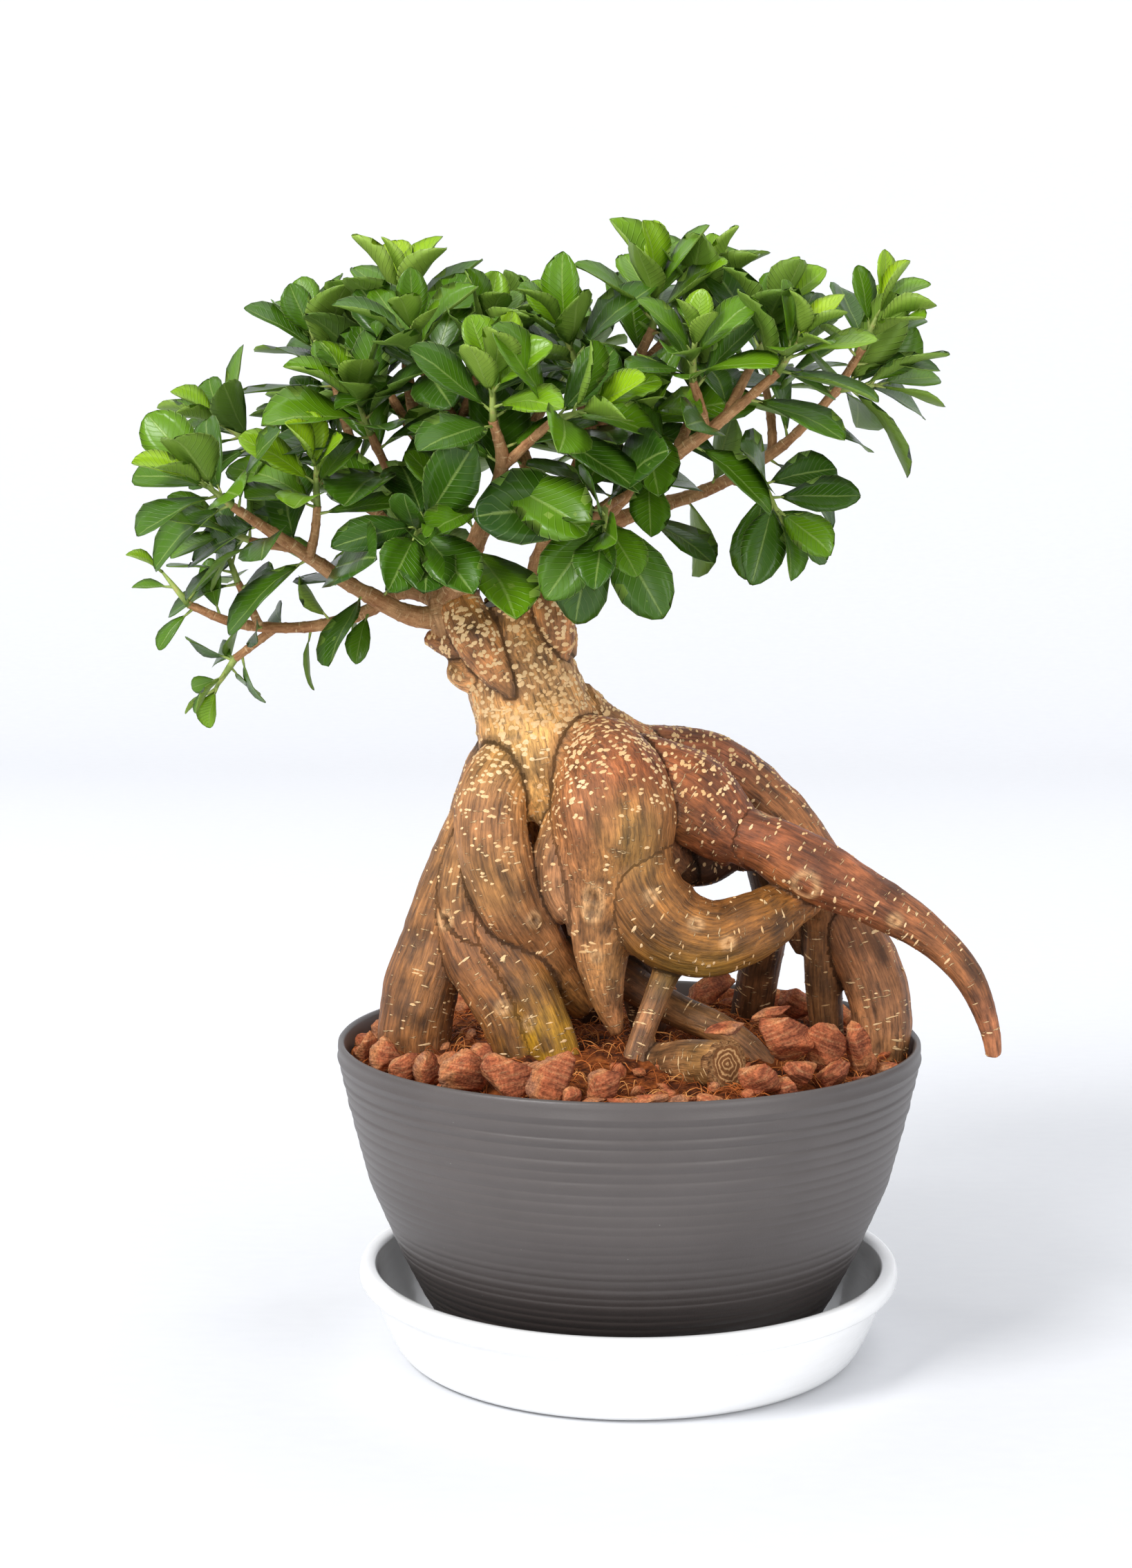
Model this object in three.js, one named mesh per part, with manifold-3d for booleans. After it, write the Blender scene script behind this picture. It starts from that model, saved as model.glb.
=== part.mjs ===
// Ginseng ficus bonsai, grafted twice, planted in a ribbed bowl pot that stands in a glazed saucer.
// Millimetres. +Z is up, the front faces -Y, and the origin is the centre of the saucer's flat base.

import * as THREE from "three";
import { mergeVertices } from "three/addons/utils/BufferGeometryUtils.js";
import Module from "manifold-3d";

// Driving dimensions.
const GAP = 0.3; // clearance between pieces that rest on or grow against each other
const TURNED_SIDES = 36; // facets round the pot and the saucer

const RIM_RADIUS = 110;
const RIM_HEIGHT = 120.7;
const POT_WALL = 2.6;
const POT_FLOOR = 3;
const FOOT_RADIUS = 62;
const FOOT_RECESS = 1.5;
const DRAIN_RADIUS = 4.5;
const DRAIN_CIRCLE = 36;

const SAUCER_BASE_RADIUS = 82;
const SAUCER_LIP_RADIUS = 101.5;
const SAUCER_HEIGHT = 35.5;
const SAUCER_FLOOR = 4.5;

const SOIL_RIM_HEIGHT = 113;
const SOIL_CROWN_HEIGHT = 122.5;
const POCKET = 0.45; // how much wider than a root or chip its pocket in the soil is

const ROOT_SIDES = 8; // facets round a root, and rings along it
const ROOT_STEPS = 8;
const TWIG_SIDES = 6;
const TWIG_STEPS = 5;

const LEAF_HALF_THICKNESS = 0.7;
const LEAF_CUP = 1.6; // how far the middle of a leaf's edge rises above its base and tip
const SHOOT_LENGTH = 15;
const GOLDEN_ANGLE = 2.39996;

const wasm = await Module();
wasm.setup();

const group = new THREE.Group();
group.name = "ficus_bonsai";

const LOOKS = {
  glaze: { color: 0xf4f4f2, roughness: 0.12, metalness: 0 },
  pot: { color: 0x3a3735, roughness: 0.55, metalness: 0 },
  soil: { color: 0x5a2e18, roughness: 0.95, metalness: 0 },
  bark: { color: 0x8a6038, roughness: 0.7, metalness: 0 },
  twig: { color: 0x9a7350, roughness: 0.75, metalness: 0 },
  leaf: { color: 0x2f7a26, roughness: 0.35, metalness: 0 },
  chip: { color: 0x8f4f33, roughness: 0.85, metalness: 0 },
};

// A closed body from any closed three.js surface: bare positions, welded, without zero-area faces.
function solid(geometry) {
  const bare = new THREE.BufferGeometry();
  bare.setAttribute("position", geometry.getAttribute("position"));
  bare.setIndex(geometry.getIndex());
  const welded = mergeVertices(bare, 1e-4);
  const index = welded.getIndex().array;
  const kept = [];
  for (let i = 0; i < index.length; i += 3) {
    const [a, b, c] = [index[i], index[i + 1], index[i + 2]];
    if (a !== b && b !== c && c !== a) {
      kept.push(a, b, c);
    }
  }
  const vertProperties = new Float32Array(welded.getAttribute("position").array);
  const mesh = new wasm.Mesh({ numProp: 3, vertProperties, triVerts: new Uint32Array(kept) });
  return new wasm.Manifold(mesh);
}

// The largest closed body, so that a crumb cut loose by a pocket is dropped.
function largest(body) {
  const pieces = body.decompose();
  return pieces.reduce((a, b) => (a.volume() > b.volume() ? a : b)).asOriginal();
}

function place(name, body, look) {
  const mesh = body.getMesh();
  const geometry = new THREE.BufferGeometry();
  geometry.setAttribute("position", new THREE.Float32BufferAttribute(mesh.vertProperties, 3));
  geometry.setIndex(Array.from(mesh.triVerts));
  geometry.computeVertexNormals();
  const piece = new THREE.Mesh(geometry, new THREE.MeshStandardMaterial(LOOKS[look]));
  piece.name = name;
  group.add(piece);
}

// A profile of [radius, height] turned round the Z axis.
function turned(profile) {
  const points = profile.map(([r, z]) => new THREE.Vector2(r, z));
  const geometry = new THREE.LatheGeometry(points, TURNED_SIDES);
  geometry.rotateX(Math.PI / 2);
  return solid(geometry);
}

// A round limb along rows of [x, y, z, radius]: a closed unit cylinder bent along a smooth curve.
function limb(route, sides, steps, grow = 0) {
  const knots = route.map(([x, y, z]) => new THREE.Vector3(x, y, z));
  const curve = new THREE.CatmullRomCurve3(knots, false, "centripetal");
  const frames = curve.computeFrenetFrames(steps, false);
  const geometry = new THREE.CylinderGeometry(1, 1, 1, sides, steps);
  const position = geometry.getAttribute("position");
  for (let i = 0; i < position.count; i += 1) {
    const along = position.getY(i) + 0.5;
    const ring = Math.round(along * steps);
    const knot = curve.getUtoTmapping(along) * (route.length - 1);
    const low = Math.min(Math.floor(knot), route.length - 2);
    const radius = THREE.MathUtils.lerp(route[low][3], route[low + 1][3], knot - low) + grow;
    const point = curve.getPointAt(along);
    point.addScaledVector(frames.normals[ring], position.getZ(i) * radius);
    point.addScaledVector(frames.binormals[ring], position.getX(i) * radius);
    const end = grow * ((along > 0.999) - (along < 0.001));
    point.addScaledVector(frames.tangents[ring], end);
    position.setXYZ(i, point.x, point.y, point.z);
  }
  return solid(geometry);
}

function grown(routes, sides, steps, grow = 0) {
  const limbs = routes.map((route) => limb(route, sides, steps, grow));
  return wasm.Manifold.union(limbs);
}

// Saucer: a shallow dish turned in one piece, with a thick rolled lip and a flat unglazed base.
const saucer = turned([
  [0, 0],
  [SAUCER_BASE_RADIUS, 0],
  [SAUCER_BASE_RADIUS + 4, 1.6],
  [SAUCER_BASE_RADIUS + 9, 9],
  [SAUCER_BASE_RADIUS + 14, 20],
  [SAUCER_BASE_RADIUS + 16, SAUCER_HEIGHT - 9],
  [SAUCER_LIP_RADIUS, SAUCER_HEIGHT - 7.5],
  [SAUCER_LIP_RADIUS + 0.4, SAUCER_HEIGHT - 4],
  [SAUCER_LIP_RADIUS - 0.6, SAUCER_HEIGHT - 1],
  [SAUCER_LIP_RADIUS - 3, SAUCER_HEIGHT],
  [SAUCER_LIP_RADIUS - 5.6, SAUCER_HEIGHT - 1.5],
  [SAUCER_LIP_RADIUS - 7.5, 24],
  [SAUCER_BASE_RADIUS + 5, 12],
  [SAUCER_BASE_RADIUS - 2, 6],
  [SAUCER_BASE_RADIUS - 8, SAUCER_FLOOR],
  [0, SAUCER_FLOOR],
]);
place("saucer", saucer, "glaze");

// Pot: a thin moulded bowl that flares upward, standing on a low foot ring, with drain holes.
const potFoot = SAUCER_FLOOR + GAP;
const flare = [
  [RIM_RADIUS - 38, 14.7],
  [RIM_RADIUS - 32.5, 24],
  [RIM_RADIUS - 23.5, 42],
  [RIM_RADIUS - 12.5, 68],
  [RIM_RADIUS - 4.5, 98],
];
const potFloorTop = potFoot + FOOT_RECESS + POT_FLOOR;
const innerFlare = flare.map(([r, z]) => [r - POT_WALL, z]).reverse();
const innerWall = [
  [RIM_RADIUS - POT_WALL, RIM_HEIGHT - 1],
  ...innerFlare,
  [FOOT_RADIUS, potFloorTop],
];
const potBowl = turned([
  [0, potFoot + FOOT_RECESS],
  [FOOT_RADIUS - 5, potFoot + FOOT_RECESS],
  [FOOT_RADIUS - 4, potFoot],
  [FOOT_RADIUS, potFoot],
  [FOOT_RADIUS + 5, potFoot + 3.5],
  ...flare,
  [RIM_RADIUS, RIM_HEIGHT - 1],
  [RIM_RADIUS - POT_WALL / 2, RIM_HEIGHT],
  ...innerWall,
  [0, potFloorTop],
]);
const drains = [[0, 0]];
for (let i = 0; i < 4; i += 1) {
  const angle = (i * Math.PI) / 2 + Math.PI / 4;
  drains.push([DRAIN_CIRCLE * Math.cos(angle), DRAIN_CIRCLE * Math.sin(angle)]);
}
const drainCutters = drains.map(([x, y]) => {
  const pin = new THREE.CylinderGeometry(DRAIN_RADIUS, DRAIN_RADIUS, 20, 10);
  pin.rotateX(Math.PI / 2);
  pin.translate(x, y, potFoot);
  return solid(pin);
});
place("pot", drainCutters.reduce((body, cutter) => body.subtract(cutter), potBowl), "pot");

// Rootstock: one grown piece of wood. The trunk is sawn off at a slant between two graft
// shoulders and stands on fat aerial roots that run down, across and over the rim.
const ROOT_ROUTES = [
  // trunk, from the saw cut down to the crown of the roots
  [[-45, 0, 288, 13], [-45, 0, 275, 15], [-40, 0, 257, 21], [-36, 0, 244, 23], [-32, -1, 228, 25],
    [-28, -2, 205, 18]],
  // trunk flaring to the right into the arch
  [[-31, 2, 262, 9], [-23, 2, 248, 9.5], [-10, 4, 236, 10], [4, 8, 228, 10]],
  // flap, heel and ledge under the left graft
  [[-63, -8, 280, 7.5], [-57, -13, 273, 9], [-50, -16, 262, 7], [-43, -19, 252, 3.5]],
  [[-52, -6, 276, 9], [-63, -7, 271, 8], [-76, -4, 271, 2.5]],
  [[-52, -4, 262, 10], [-60, -5, 259, 8], [-67, -4, 261, 4]],
  // shoulder and tongue under the right graft
  [[-32, 2, 252, 10], [-29, 2, 268, 9.5], [-29, 2, 284, 7.5]],
  [[-30, -2, 286, 7], [-28, -7, 278, 8.5], [-26, -8, 266, 5.5]],
  // left outer root
  [[-40, 2, 226, 19], [-52, 0, 208, 15], [-63, -3, 185, 13], [-73, -7, 156, 13.5],
    [-80, -11, 130, 14.5], [-81, -14, 98, 12]],
  // left front root with its S bend
  [[-43, -8, 231, 11], [-50, -20, 215, 12.5], [-50, -26, 194, 13.5], [-43, -25, 174, 12.5],
    [-32, -20, 157, 10.5], [-15, -14, 134, 6.5]],
  // web between the two left roots
  [[-58, -8, 200, 8], [-61, -13, 178, 10.5], [-54, -18, 154, 11]],
  // inner left root, forking off the outer one, and its flank
  [[-67, -6, 178, 10.5], [-56, -16, 155, 13], [-43, -26, 134, 12.5], [-36, -32, 104, 9.5]],
  [[-52, -20, 166, 8], [-37, -29, 146, 10], [-28, -36, 126, 9], [-22, -38, 100, 8]],
  // root at the back of the trunk
  [[-34, 10, 222, 15], [-29, 15, 185, 13], [-20, 20, 148, 10.5], [-15, 26, 98, 9]],
  // bulb in the middle, tapering to a hanging cone, with a lobe on its left and one behind
  [[-18, -8, 234, 10], [-10, -18, 225, 19], [-6, -25, 208, 23], [-7, -27, 190, 19.5],
    [-10, -30, 170, 13], [-10, -32, 155, 10], [-8, -34, 142, 6.5], [-4, -34, 128, 2.5]],
  [[-14, -14, 214, 12], [-21, -21, 198, 13], [-22, -25, 185, 12], [-17, -28, 172, 9.5]],
  [[0, -10, 206, 16], [8, -6, 193, 14], [17, -4, 183, 10]],
  // looped root that runs low across the middle and ends in a healed wound
  [[-3, -26, 198, 18.5], [3, -31, 182, 16], [14, -34, 169, 16], [30, -34, 164, 14],
    [46, -29, 168, 12.5], [60, -21, 174, 9], [70, -16, 176, 4.5]],
  // right arch at the back
  [[-20, 8, 226, 16], [6, 18, 225, 12.5], [30, 22, 221, 13], [52, 19, 206, 12], [70, 11, 186, 11],
    [84, 4, 162, 11.5], [94, 0, 136, 12], [95, -3, 116, 10.5], [92, -5, 97, 9.5]],
  // heavy shoulder of the long right root, and the wood under it
  [[-20, -2, 225, 14], [6, -8, 221, 14], [24, -11, 211, 16.5], [42, -15, 197, 11]],
  [[4, 5, 204, 14], [15, 6, 192, 15], [27, 8, 188, 12], [38, 9, 192, 10], [49, 11, 190, 8]],
  // long right root that reaches out over the rim
  [[38, -15, 201, 10], [52, -21, 196, 11.5], [72, -27, 186, 11.5], [92, -32, 176, 9],
    [112, -35, 163, 7], [124, -36, 149, 5.5], [131, -36, 132, 3.8], [133, -36, 121, 3]],
  // thin stilt under the looped root
  [[19, -32, 162, 6.5], [12, -34, 147, 5], [3, -43, 124, 4.5], [-7, -54, 97, 4]],
  // root hidden behind the bulb
  [[-12, -6, 182, 11], [0, -3, 156, 9], [7, 0, 128, 7.5], [9, 2, 104, 7]],
  // stub at the back
  [[50, 14, 196, 9], [55, 24, 168, 8], [51, 38, 138, 8], [46, 48, 98, 8.5]],
  // broken root hanging beside the upright one
  [[62, 9, 182, 7], [63, 11, 166, 7], [66, 13, 150, 2.5]],
  // upright right root
  [[70, -8, 182, 7.5], [73, 3, 166, 7.5], [74, 9, 140, 7], [78, 10, 98, 6]],
  // low root creeping over the soil
  [[-24, -12, 156, 8.5], [-4, -13, 146, 7.5], [16, -19, 135, 6.5], [39, -29, 126, 5.5],
    [58, -40, 110, 4]],
  // sawn-off root that lies on the soil at the front
  [[-22, -36, 102, 7.5], [-8, -28, 104, 7.5], [6, -34, 114, 8], [20, -54, 122, 8.5],
    [34, -73, 126, 9]],
];
// The roots fuse without a hollow inside, so only the outer skin of the wood is kept.
const rootstock = largest(grown(ROOT_ROUTES, ROOT_SIDES, ROOT_STEPS).simplify(0.05));
place("rootstock", rootstock, "bark");
const rootPocket = largest(grown(ROOT_ROUTES, ROOT_SIDES, ROOT_STEPS, POCKET));

// Bark chips: rows of x, y, z, half width, half depth, half height, turn and lean in radians.
const CHIP_ROWS = [
  [-97, -27, 120, 4, 3.5, 7.5, 1.2, 0.15], [-88, -40, 121, 5.5, 5, 7, 0.5, -0.1],
  [-81, -55, 120, 7, 5, 5.5, 0.5, 0.2], [-71, -64, 121, 5.5, 5, 6, 0.9, 0.1],
  [-59, -75, 123, 8, 6, 7.5, 0.5, -0.15], [-52, -59, 125, 6, 4.5, 4.5, 0.2, 0.3],
  [-42, -85, 124, 9, 6, 8, 0.25, 0.1], [-26, -90, 125, 8.5, 6, 8.5, 0.1, -0.2],
  [-8, -90, 123, 7, 5, 6, -0.1, 0.25], [56, -52, 132, 9, 7, 8.5, -0.5, 0.2],
  [70, -50, 129, 7, 5.5, 9, -0.3, -0.2], [82, -48, 128, 4.5, 4, 11, -0.6, 0.1],
  [46, -80, 122, 6, 5, 7.5, -0.4, 0.35], [60, -70, 123, 5.5, 5, 5.5, -0.9, -0.3],
  [72, -65, 120, 10, 5, 4, -0.75, 0.3], [55, -81, 119, 4, 4, 4.5, -0.5, 0.1],
  [31, 58, 127, 10, 7, 6, 0.4, 0.2], [66, 43, 125, 9.5, 7, 5.5, -0.7, -0.2],
  [-10, 87, 120, 8.5, 6, 6.5, 0.1, 0.2], [-66, 62, 120, 8.5, 6, 6, 0.8, -0.2],
];

// A repeatable number from 0 to 1 for corner i of chip k.
function scatter(i, k) {
  const wave = Math.sin(i * 12.9898 + k * 78.233) * 43758.5453;
  return wave - Math.floor(wave);
}

// A broken flake of bark: a squashed icosahedron with uneven corners.
function chip([x, y, z, halfWidth, halfDepth, halfHeight, turn, lean], k, grow = 0) {
  const rounded = new THREE.IcosahedronGeometry(1, 0);
  const geometry = mergeVertices(rounded.deleteAttribute("uv").deleteAttribute("normal"));
  const position = geometry.getAttribute("position");
  for (let i = 0; i < position.count; i += 1) {
    const reach = 0.85 + 0.25 * scatter(i, k);
    position.setXYZ(
      i,
      position.getX(i) * (reach * halfWidth + grow),
      position.getY(i) * (reach * halfDepth + grow),
      position.getZ(i) * (reach * halfHeight + grow),
    );
  }
  geometry.rotateX(lean);
  geometry.rotateZ(turn);
  geometry.translate(x, y, z);
  return solid(geometry);
}

// Potting mix: a low mound of coir that fills the pot, with a pocket for every root and chip.
const mixBlank = turned([
  [0, potFloorTop + GAP],
  [FOOT_RADIUS - 1, potFloorTop + GAP],
  ...flare.map(([r, z]) => [r - POT_WALL - GAP, z]),
  [RIM_RADIUS - POT_WALL - 3, SOIL_RIM_HEIGHT],
  [88, SOIL_RIM_HEIGHT + 4.5],
  [60, SOIL_CROWN_HEIGHT - 2],
  [30, SOIL_CROWN_HEIGHT - 0.5],
  [0, SOIL_CROWN_HEIGHT],
]);
const chipPockets = wasm.Manifold.union(CHIP_ROWS.map((row, k) => chip(row, k, POCKET)));
place("potting_mix", largest(mixBlank.subtract(rootPocket).subtract(chipPockets)), "soil");

let standing = wasm.Manifold.union([rootPocket, potBowl]);
CHIP_ROWS.forEach((row, k) => {
  const flake = largest(chip(row, k).subtract(standing));
  place(`bark_chip_${String(k + 1).padStart(2, "0")}`, flake, "chip");
  standing = standing.add(chip(row, k, POCKET));
});

// Left graft: a scion set on the left shoulder, with its branches and twigs.
const LEFT_ROUTES = [
  [[-60, -5, 266, 6.5], [-64, -5, 275, 9.5], [-66, -4, 284, 9], [-67, -3, 292, 7]],
  [[-66, -4, 280, 5.5], [-78, -8, 279, 4], [-98, -16, 289, 3], [-120, -24, 304, 2.4],
    [-143, -30, 320, 1.6]],
  [[-116, -24, 302, 2], [-114, -25, 311, 1.7], [-113, -26, 320, 1.5]],
  [[-122, -25, 305, 2], [-131, -18, 306, 1.7], [-139, -10, 307, 1.5]],
  [[-70, 0, 285, 3.6], [-84, 6, 288, 2.8], [-102, 11, 279, 2.5], [-125, 14, 274, 2.1],
    [-150, 12, 276, 1.8], [-166, 8, 283, 1.5]],
  [[-140, 13, 274, 1.9], [-144, 14, 283, 1.6], [-148, 13, 291, 1.5]],
  [[-134, 14, 274, 1.9], [-142, 16, 268, 1.6], [-150, 17, 262, 1.5]],
  [[-66, -8, 285, 6], [-59, -18, 300, 4], [-51, -32, 318, 3], [-45, -46, 336, 2.4],
    [-48, -52, 350, 1.6]],
  [[-45, -45, 334, 2], [-36, -50, 342, 1.7], [-27, -55, 350, 1.5]],
  [[-60, -17, 298, 2.2], [-67, -25, 306, 1.8], [-74, -33, 314, 1.5]],
  [[-69, 0, 287, 5.5], [-82, 16, 302, 3.5], [-98, 31, 321, 2.8], [-112, 40, 340, 1.8]],
  [[-78, 12, 298, 2.6], [-84, 8, 318, 2], [-95, -10, 346, 1.6]],
  [[-96, 29, 317, 2.4], [-120, 26, 330, 2], [-142, 14, 343, 1.5]],
  [[-102, 34, 326, 2.3], [-108, 33, 348, 1.9], [-113, 26, 370, 1.6]],
  [[-67, 0, 289, 5], [-72, 15, 312, 3.4], [-79, 18, 340, 2.7], [-85, 10, 384, 1.7]],
  [[-80, 18, 344, 2.2], [-89, 26, 358, 1.8], [-97, 34, 370, 1.5]],
  [[-75, 18, 325, 2.3], [-66, 10, 345, 2], [-56, -4, 368, 1.6]],
  [[-79, 18, 342, 2.2], [-72, 31, 356, 1.8], [-64, 44, 367, 1.5]],
  [[-64, 8, 349, 2], [-70, -7, 360, 1.7], [-76, -20, 370, 1.5]],
];

// Right graft: a thicker scion set on the right shoulder.
const RIGHT_ROUTES = [
  [[-29, 2, 272, 6.5], [-30, 1, 283, 8.5], [-30, 0, 294, 8], [-28, 0, 310, 5.5]],
  [[-28, 2, 302, 5], [-17, 12, 309, 4], [2, 24, 317, 3], [30, 32, 326, 2.4], [56, 31, 341, 2],
    [78, 22, 363, 1.5]],
  [[40, 33, 329, 2], [46, 23, 328, 1.7], [50, 12, 327, 1.5]],
  [[70, 26, 354, 1.8], [79, 19, 366, 1.6], [86, 12, 378, 1.5]],
  [[54, 32, 339, 2], [54, 40, 352, 1.7], [52, 47, 365, 1.5]],
  [[-28, -2, 304, 5], [-14, -9, 314, 3.8], [6, -26, 331, 2.8], [28, -34, 347, 2.2],
    [52, -36, 367, 1.5]],
  [[27, -34, 346, 2], [25, -37, 355, 1.7], [22, -40, 364, 1.5]],
  [[16, -31, 339, 2], [21, -18, 350, 1.8], [24, -4, 362, 1.5]],
  [[-3, -20, 324, 2.2], [-6, -30, 322, 1.8], [-9, -39, 319, 1.5]],
  [[34, -35, 352, 2], [40, -28, 364, 1.7], [46, -20, 375, 1.5]],
  [[-28, 0, 303, 6], [-23, 2, 322, 3.8], [-14, 0, 346, 3], [0, -7, 368, 2.3], [8, -10, 384, 1.6]],
  [[-15, 0, 345, 2.2], [-18, -10, 358, 1.9], [-19, -20, 370, 1.5]],
  [[2, -7, 369, 2.1], [12, -1, 379, 1.8], [23, 6, 388, 1.5]],
  [[-20, 2, 334, 2.3], [-9, -7, 343, 1.9], [2, -14, 349, 1.5]],
  [[-29, 3, 304, 5], [-37, 15, 328, 3], [-43, 23, 350, 2.4], [-42, 27, 373, 1.6]],
  [[-41, 20, 342, 2.2], [-35, 31, 354, 1.9], [-27, 42, 366, 1.5]],
];

const leftScion = grown(LEFT_ROUTES, TWIG_SIDES, TWIG_STEPS).subtract(rootPocket);
const leftGraft = largest(leftScion);
place("left_graft", leftGraft, "twig");
const leftClearance = grown(LEFT_ROUTES, TWIG_SIDES, TWIG_STEPS, GAP);
const rightBlank = grown(RIGHT_ROUTES, TWIG_SIDES, TWIG_STEPS);
const rightScion = rightBlank.subtract(rootPocket).subtract(leftClearance);
const rightGraft = largest(rightScion);
place("right_graft", rightGraft, "twig");

// Leafy shoots, each on the end of a twig: rows of the twig's number, the way the shoot grows,
// how many leaves it bears and the length of its largest leaf.
const SHOOTS = {
  left: [
    [1, [-0.7, -0.3, 0.6], 9, 34], [2, [0, -0.3, 1], 7, 28], [3, [-0.8, 0.2, 0.3], 8, 27],
    [4, [-0.4, 0, 0.5], 3, 16], [5, [-0.3, 0.1, 0.8], 6, 19], [6, [-0.5, 0.2, -0.7], 6, 17],
    [7, [0, -0.3, 1], 9, 31], [8, [0.7, -0.4, 0.2], 7, 31], [9, [-0.1, -0.7, -0.2], 6, 33],
    [10, [-0.5, 0.5, 0.7], 10, 31], [11, [-0.3, -0.5, 0.9], 10, 33], [12, [-0.8, 0, 0.5], 9, 26],
    [13, [-0.5, 0, 0.9], 9, 29], [14, [0, 0, 1], 10, 31], [15, [-0.5, 0.6, 0.7], 9, 29],
    [16, [0.2, -0.3, 1], 10, 32], [17, [0.2, 0.6, 0.8], 9, 29], [18, [-0.1, -0.7, 0.7], 8, 30],
  ],
  right: [
    [1, [0.8, 0, 0.1], 9, 32], [2, [0.3, -0.5, -0.6], 7, 30], [3, [0.4, -0.1, 0.9], 9, 25],
    [4, [0.2, 0.6, 0.8], 9, 29], [5, [0.5, -0.4, 0.8], 9, 28], [6, [0, -0.5, 0.9], 9, 26],
    [7, [0.2, 0.2, 0.9], 9, 29], [8, [0, -0.6, -0.3], 8, 34], [9, [0.4, 0, 0.9], 9, 27],
    [10, [0.1, -0.2, 1], 10, 31], [11, [-0.4, -0.4, 0.9], 9, 29], [12, [0.5, 0.1, 0.9], 10, 28],
    [13, [0.3, -0.7, 0.3], 8, 30], [14, [-0.1, 0.2, 1], 9, 31], [15, [0.3, 0.7, 0.7], 9, 29],
  ],
};

// One leaf, its base at the origin and its tip along +X: an eight-cornered outline with a
// raised middle above and below, cupped a little along its length.
const LEAF_OUTLINE = [
  [0, 0], [0.16, 0.05], [0.48, 0.25], [0.8, 0.21], [1, 0], [0.8, -0.21], [0.48, -0.25], [0.16, -0.05],
];
function leaf(length, placing) {
  const rounded = new THREE.SphereGeometry(1, 8, 2);
  const geometry = mergeVertices(rounded.deleteAttribute("uv").deleteAttribute("normal"));
  const position = geometry.getAttribute("position");
  for (let i = 0; i < position.count; i += 1) {
    const up = position.getY(i);
    if (Math.abs(up) > 0.5) {
      position.setXYZ(i, 0.52 * length, 0, 0.75 * LEAF_CUP + Math.sign(up) * LEAF_HALF_THICKNESS);
    } else {
      const turn = Math.atan2(-position.getZ(i), -position.getX(i));
      const corner = (Math.round((turn / Math.PI) * 4) + 8) % 8;
      const [x, y] = LEAF_OUTLINE[corner];
      position.setXYZ(i, x * length, y * length, LEAF_CUP * Math.sin(Math.PI * x));
    }
  }
  geometry.applyMatrix4(placing);
  return solid(geometry);
}

// What already stands, by name, with its box, so that a new leaf is tried only against what is near.
const neighbours = new Map();
function remember(name, body) {
  neighbours.set(name, { body: body.asOriginal(), box: body.boundingBox() });
}

function hasRoom(body, owner) {
  const box = body.boundingBox();
  return [...neighbours].every(([name, near]) => {
    const apart = [0, 1, 2].some(
      (axis) => box.min[axis] > near.box.max[axis] || box.max[axis] < near.box.min[axis],
    );
    if (name === owner || apart) {
      return true;
    }
    const shared = near.body.intersect(body);
    const clear = shared.isEmpty();
    shared.delete();
    return clear;
  });
}

const rightClearance = grown(RIGHT_ROUTES, TWIG_SIDES, TWIG_STEPS, GAP);
remember("rootstock", rootPocket);
remember("left_graft", leftClearance);
remember("right_graft", rightClearance);

// The green stem of every shoot goes in first.
const shoots = [];
for (const [side, routes] of [["left", LEFT_ROUTES], ["right", RIGHT_ROUTES]]) {
  for (const [row, aim, leaves, length] of SHOOTS[side]) {
    const [x, y, z, radius] = routes[row][routes[row].length - 1];
    const way = new THREE.Vector3(...aim).normalize();
    const foot = new THREE.Vector3(x, y, z).addScaledVector(way, GAP + 0.5);
    const tip = foot.clone().addScaledVector(way, SHOOT_LENGTH);
    const blank = limb([[...foot, radius * 0.85], [...tip, 0.9]], 5, 1);
    const stem = largest(blank.subtract(leftClearance).subtract(rightClearance));
    const name = `${side}_shoot_${String(row).padStart(2, "0")}`;
    remember(name, stem);
    shoots.push({ name, way, foot, tip, stem, leaves, length });
  }
}

// Leaves spiral up each stem, the lowest spreading widest. A leaf turns aside from whatever
// already grows there, and one that finds no room is left out.
shoots.forEach(({ name, way, foot, tip, stem, leaves, length: longest }, k) => {
  const upright = new THREE.Quaternion().setFromUnitVectors(new THREE.Vector3(0, 0, 1), way);
  let body = stem;
  for (let n = 0; n < leaves; n += 1) {
    const share = n / (leaves - 1);
    const length = longest * (1 - 0.35 * share) * (0.86 + 0.28 * scatter(n, k));
    const lift = 0.15 + 1.0 * share + 0.2 * scatter(n, k + 50);
    for (let attempt = 0; attempt < 5; attempt += 1) {
      const spin = (n + 3 * k) * GOLDEN_ANGLE + attempt * 0.45;
      const placing = new THREE.Matrix4().makeRotationFromQuaternion(upright);
      placing.multiply(new THREE.Matrix4().makeRotationZ(spin));
      placing.multiply(new THREE.Matrix4().makeRotationY(-lift));
      placing.setPosition(foot.clone().lerp(tip, 0.12 + 0.82 * share));
      const blade = leaf(length, placing);
      if (hasRoom(blade, name) && !blade.intersect(stem).isEmpty()) {
        body = body.add(blade);
        break;
      }
    }
  }
  const leafy = largest(body.simplify(0.04));
  place(name, leafy, "leaf");
  remember(name, leafy);
});

export default group;
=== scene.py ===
"""A ginseng ficus bonsai, grafted twice, in a ribbed bowl pot on a white saucer.

Lengths in this file are millimetres unless a name says otherwise; they become metres when a
mesh is made. Z is up, the front faces -Y, and the saucer stands on the floor at the origin.
"""

import math

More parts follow.
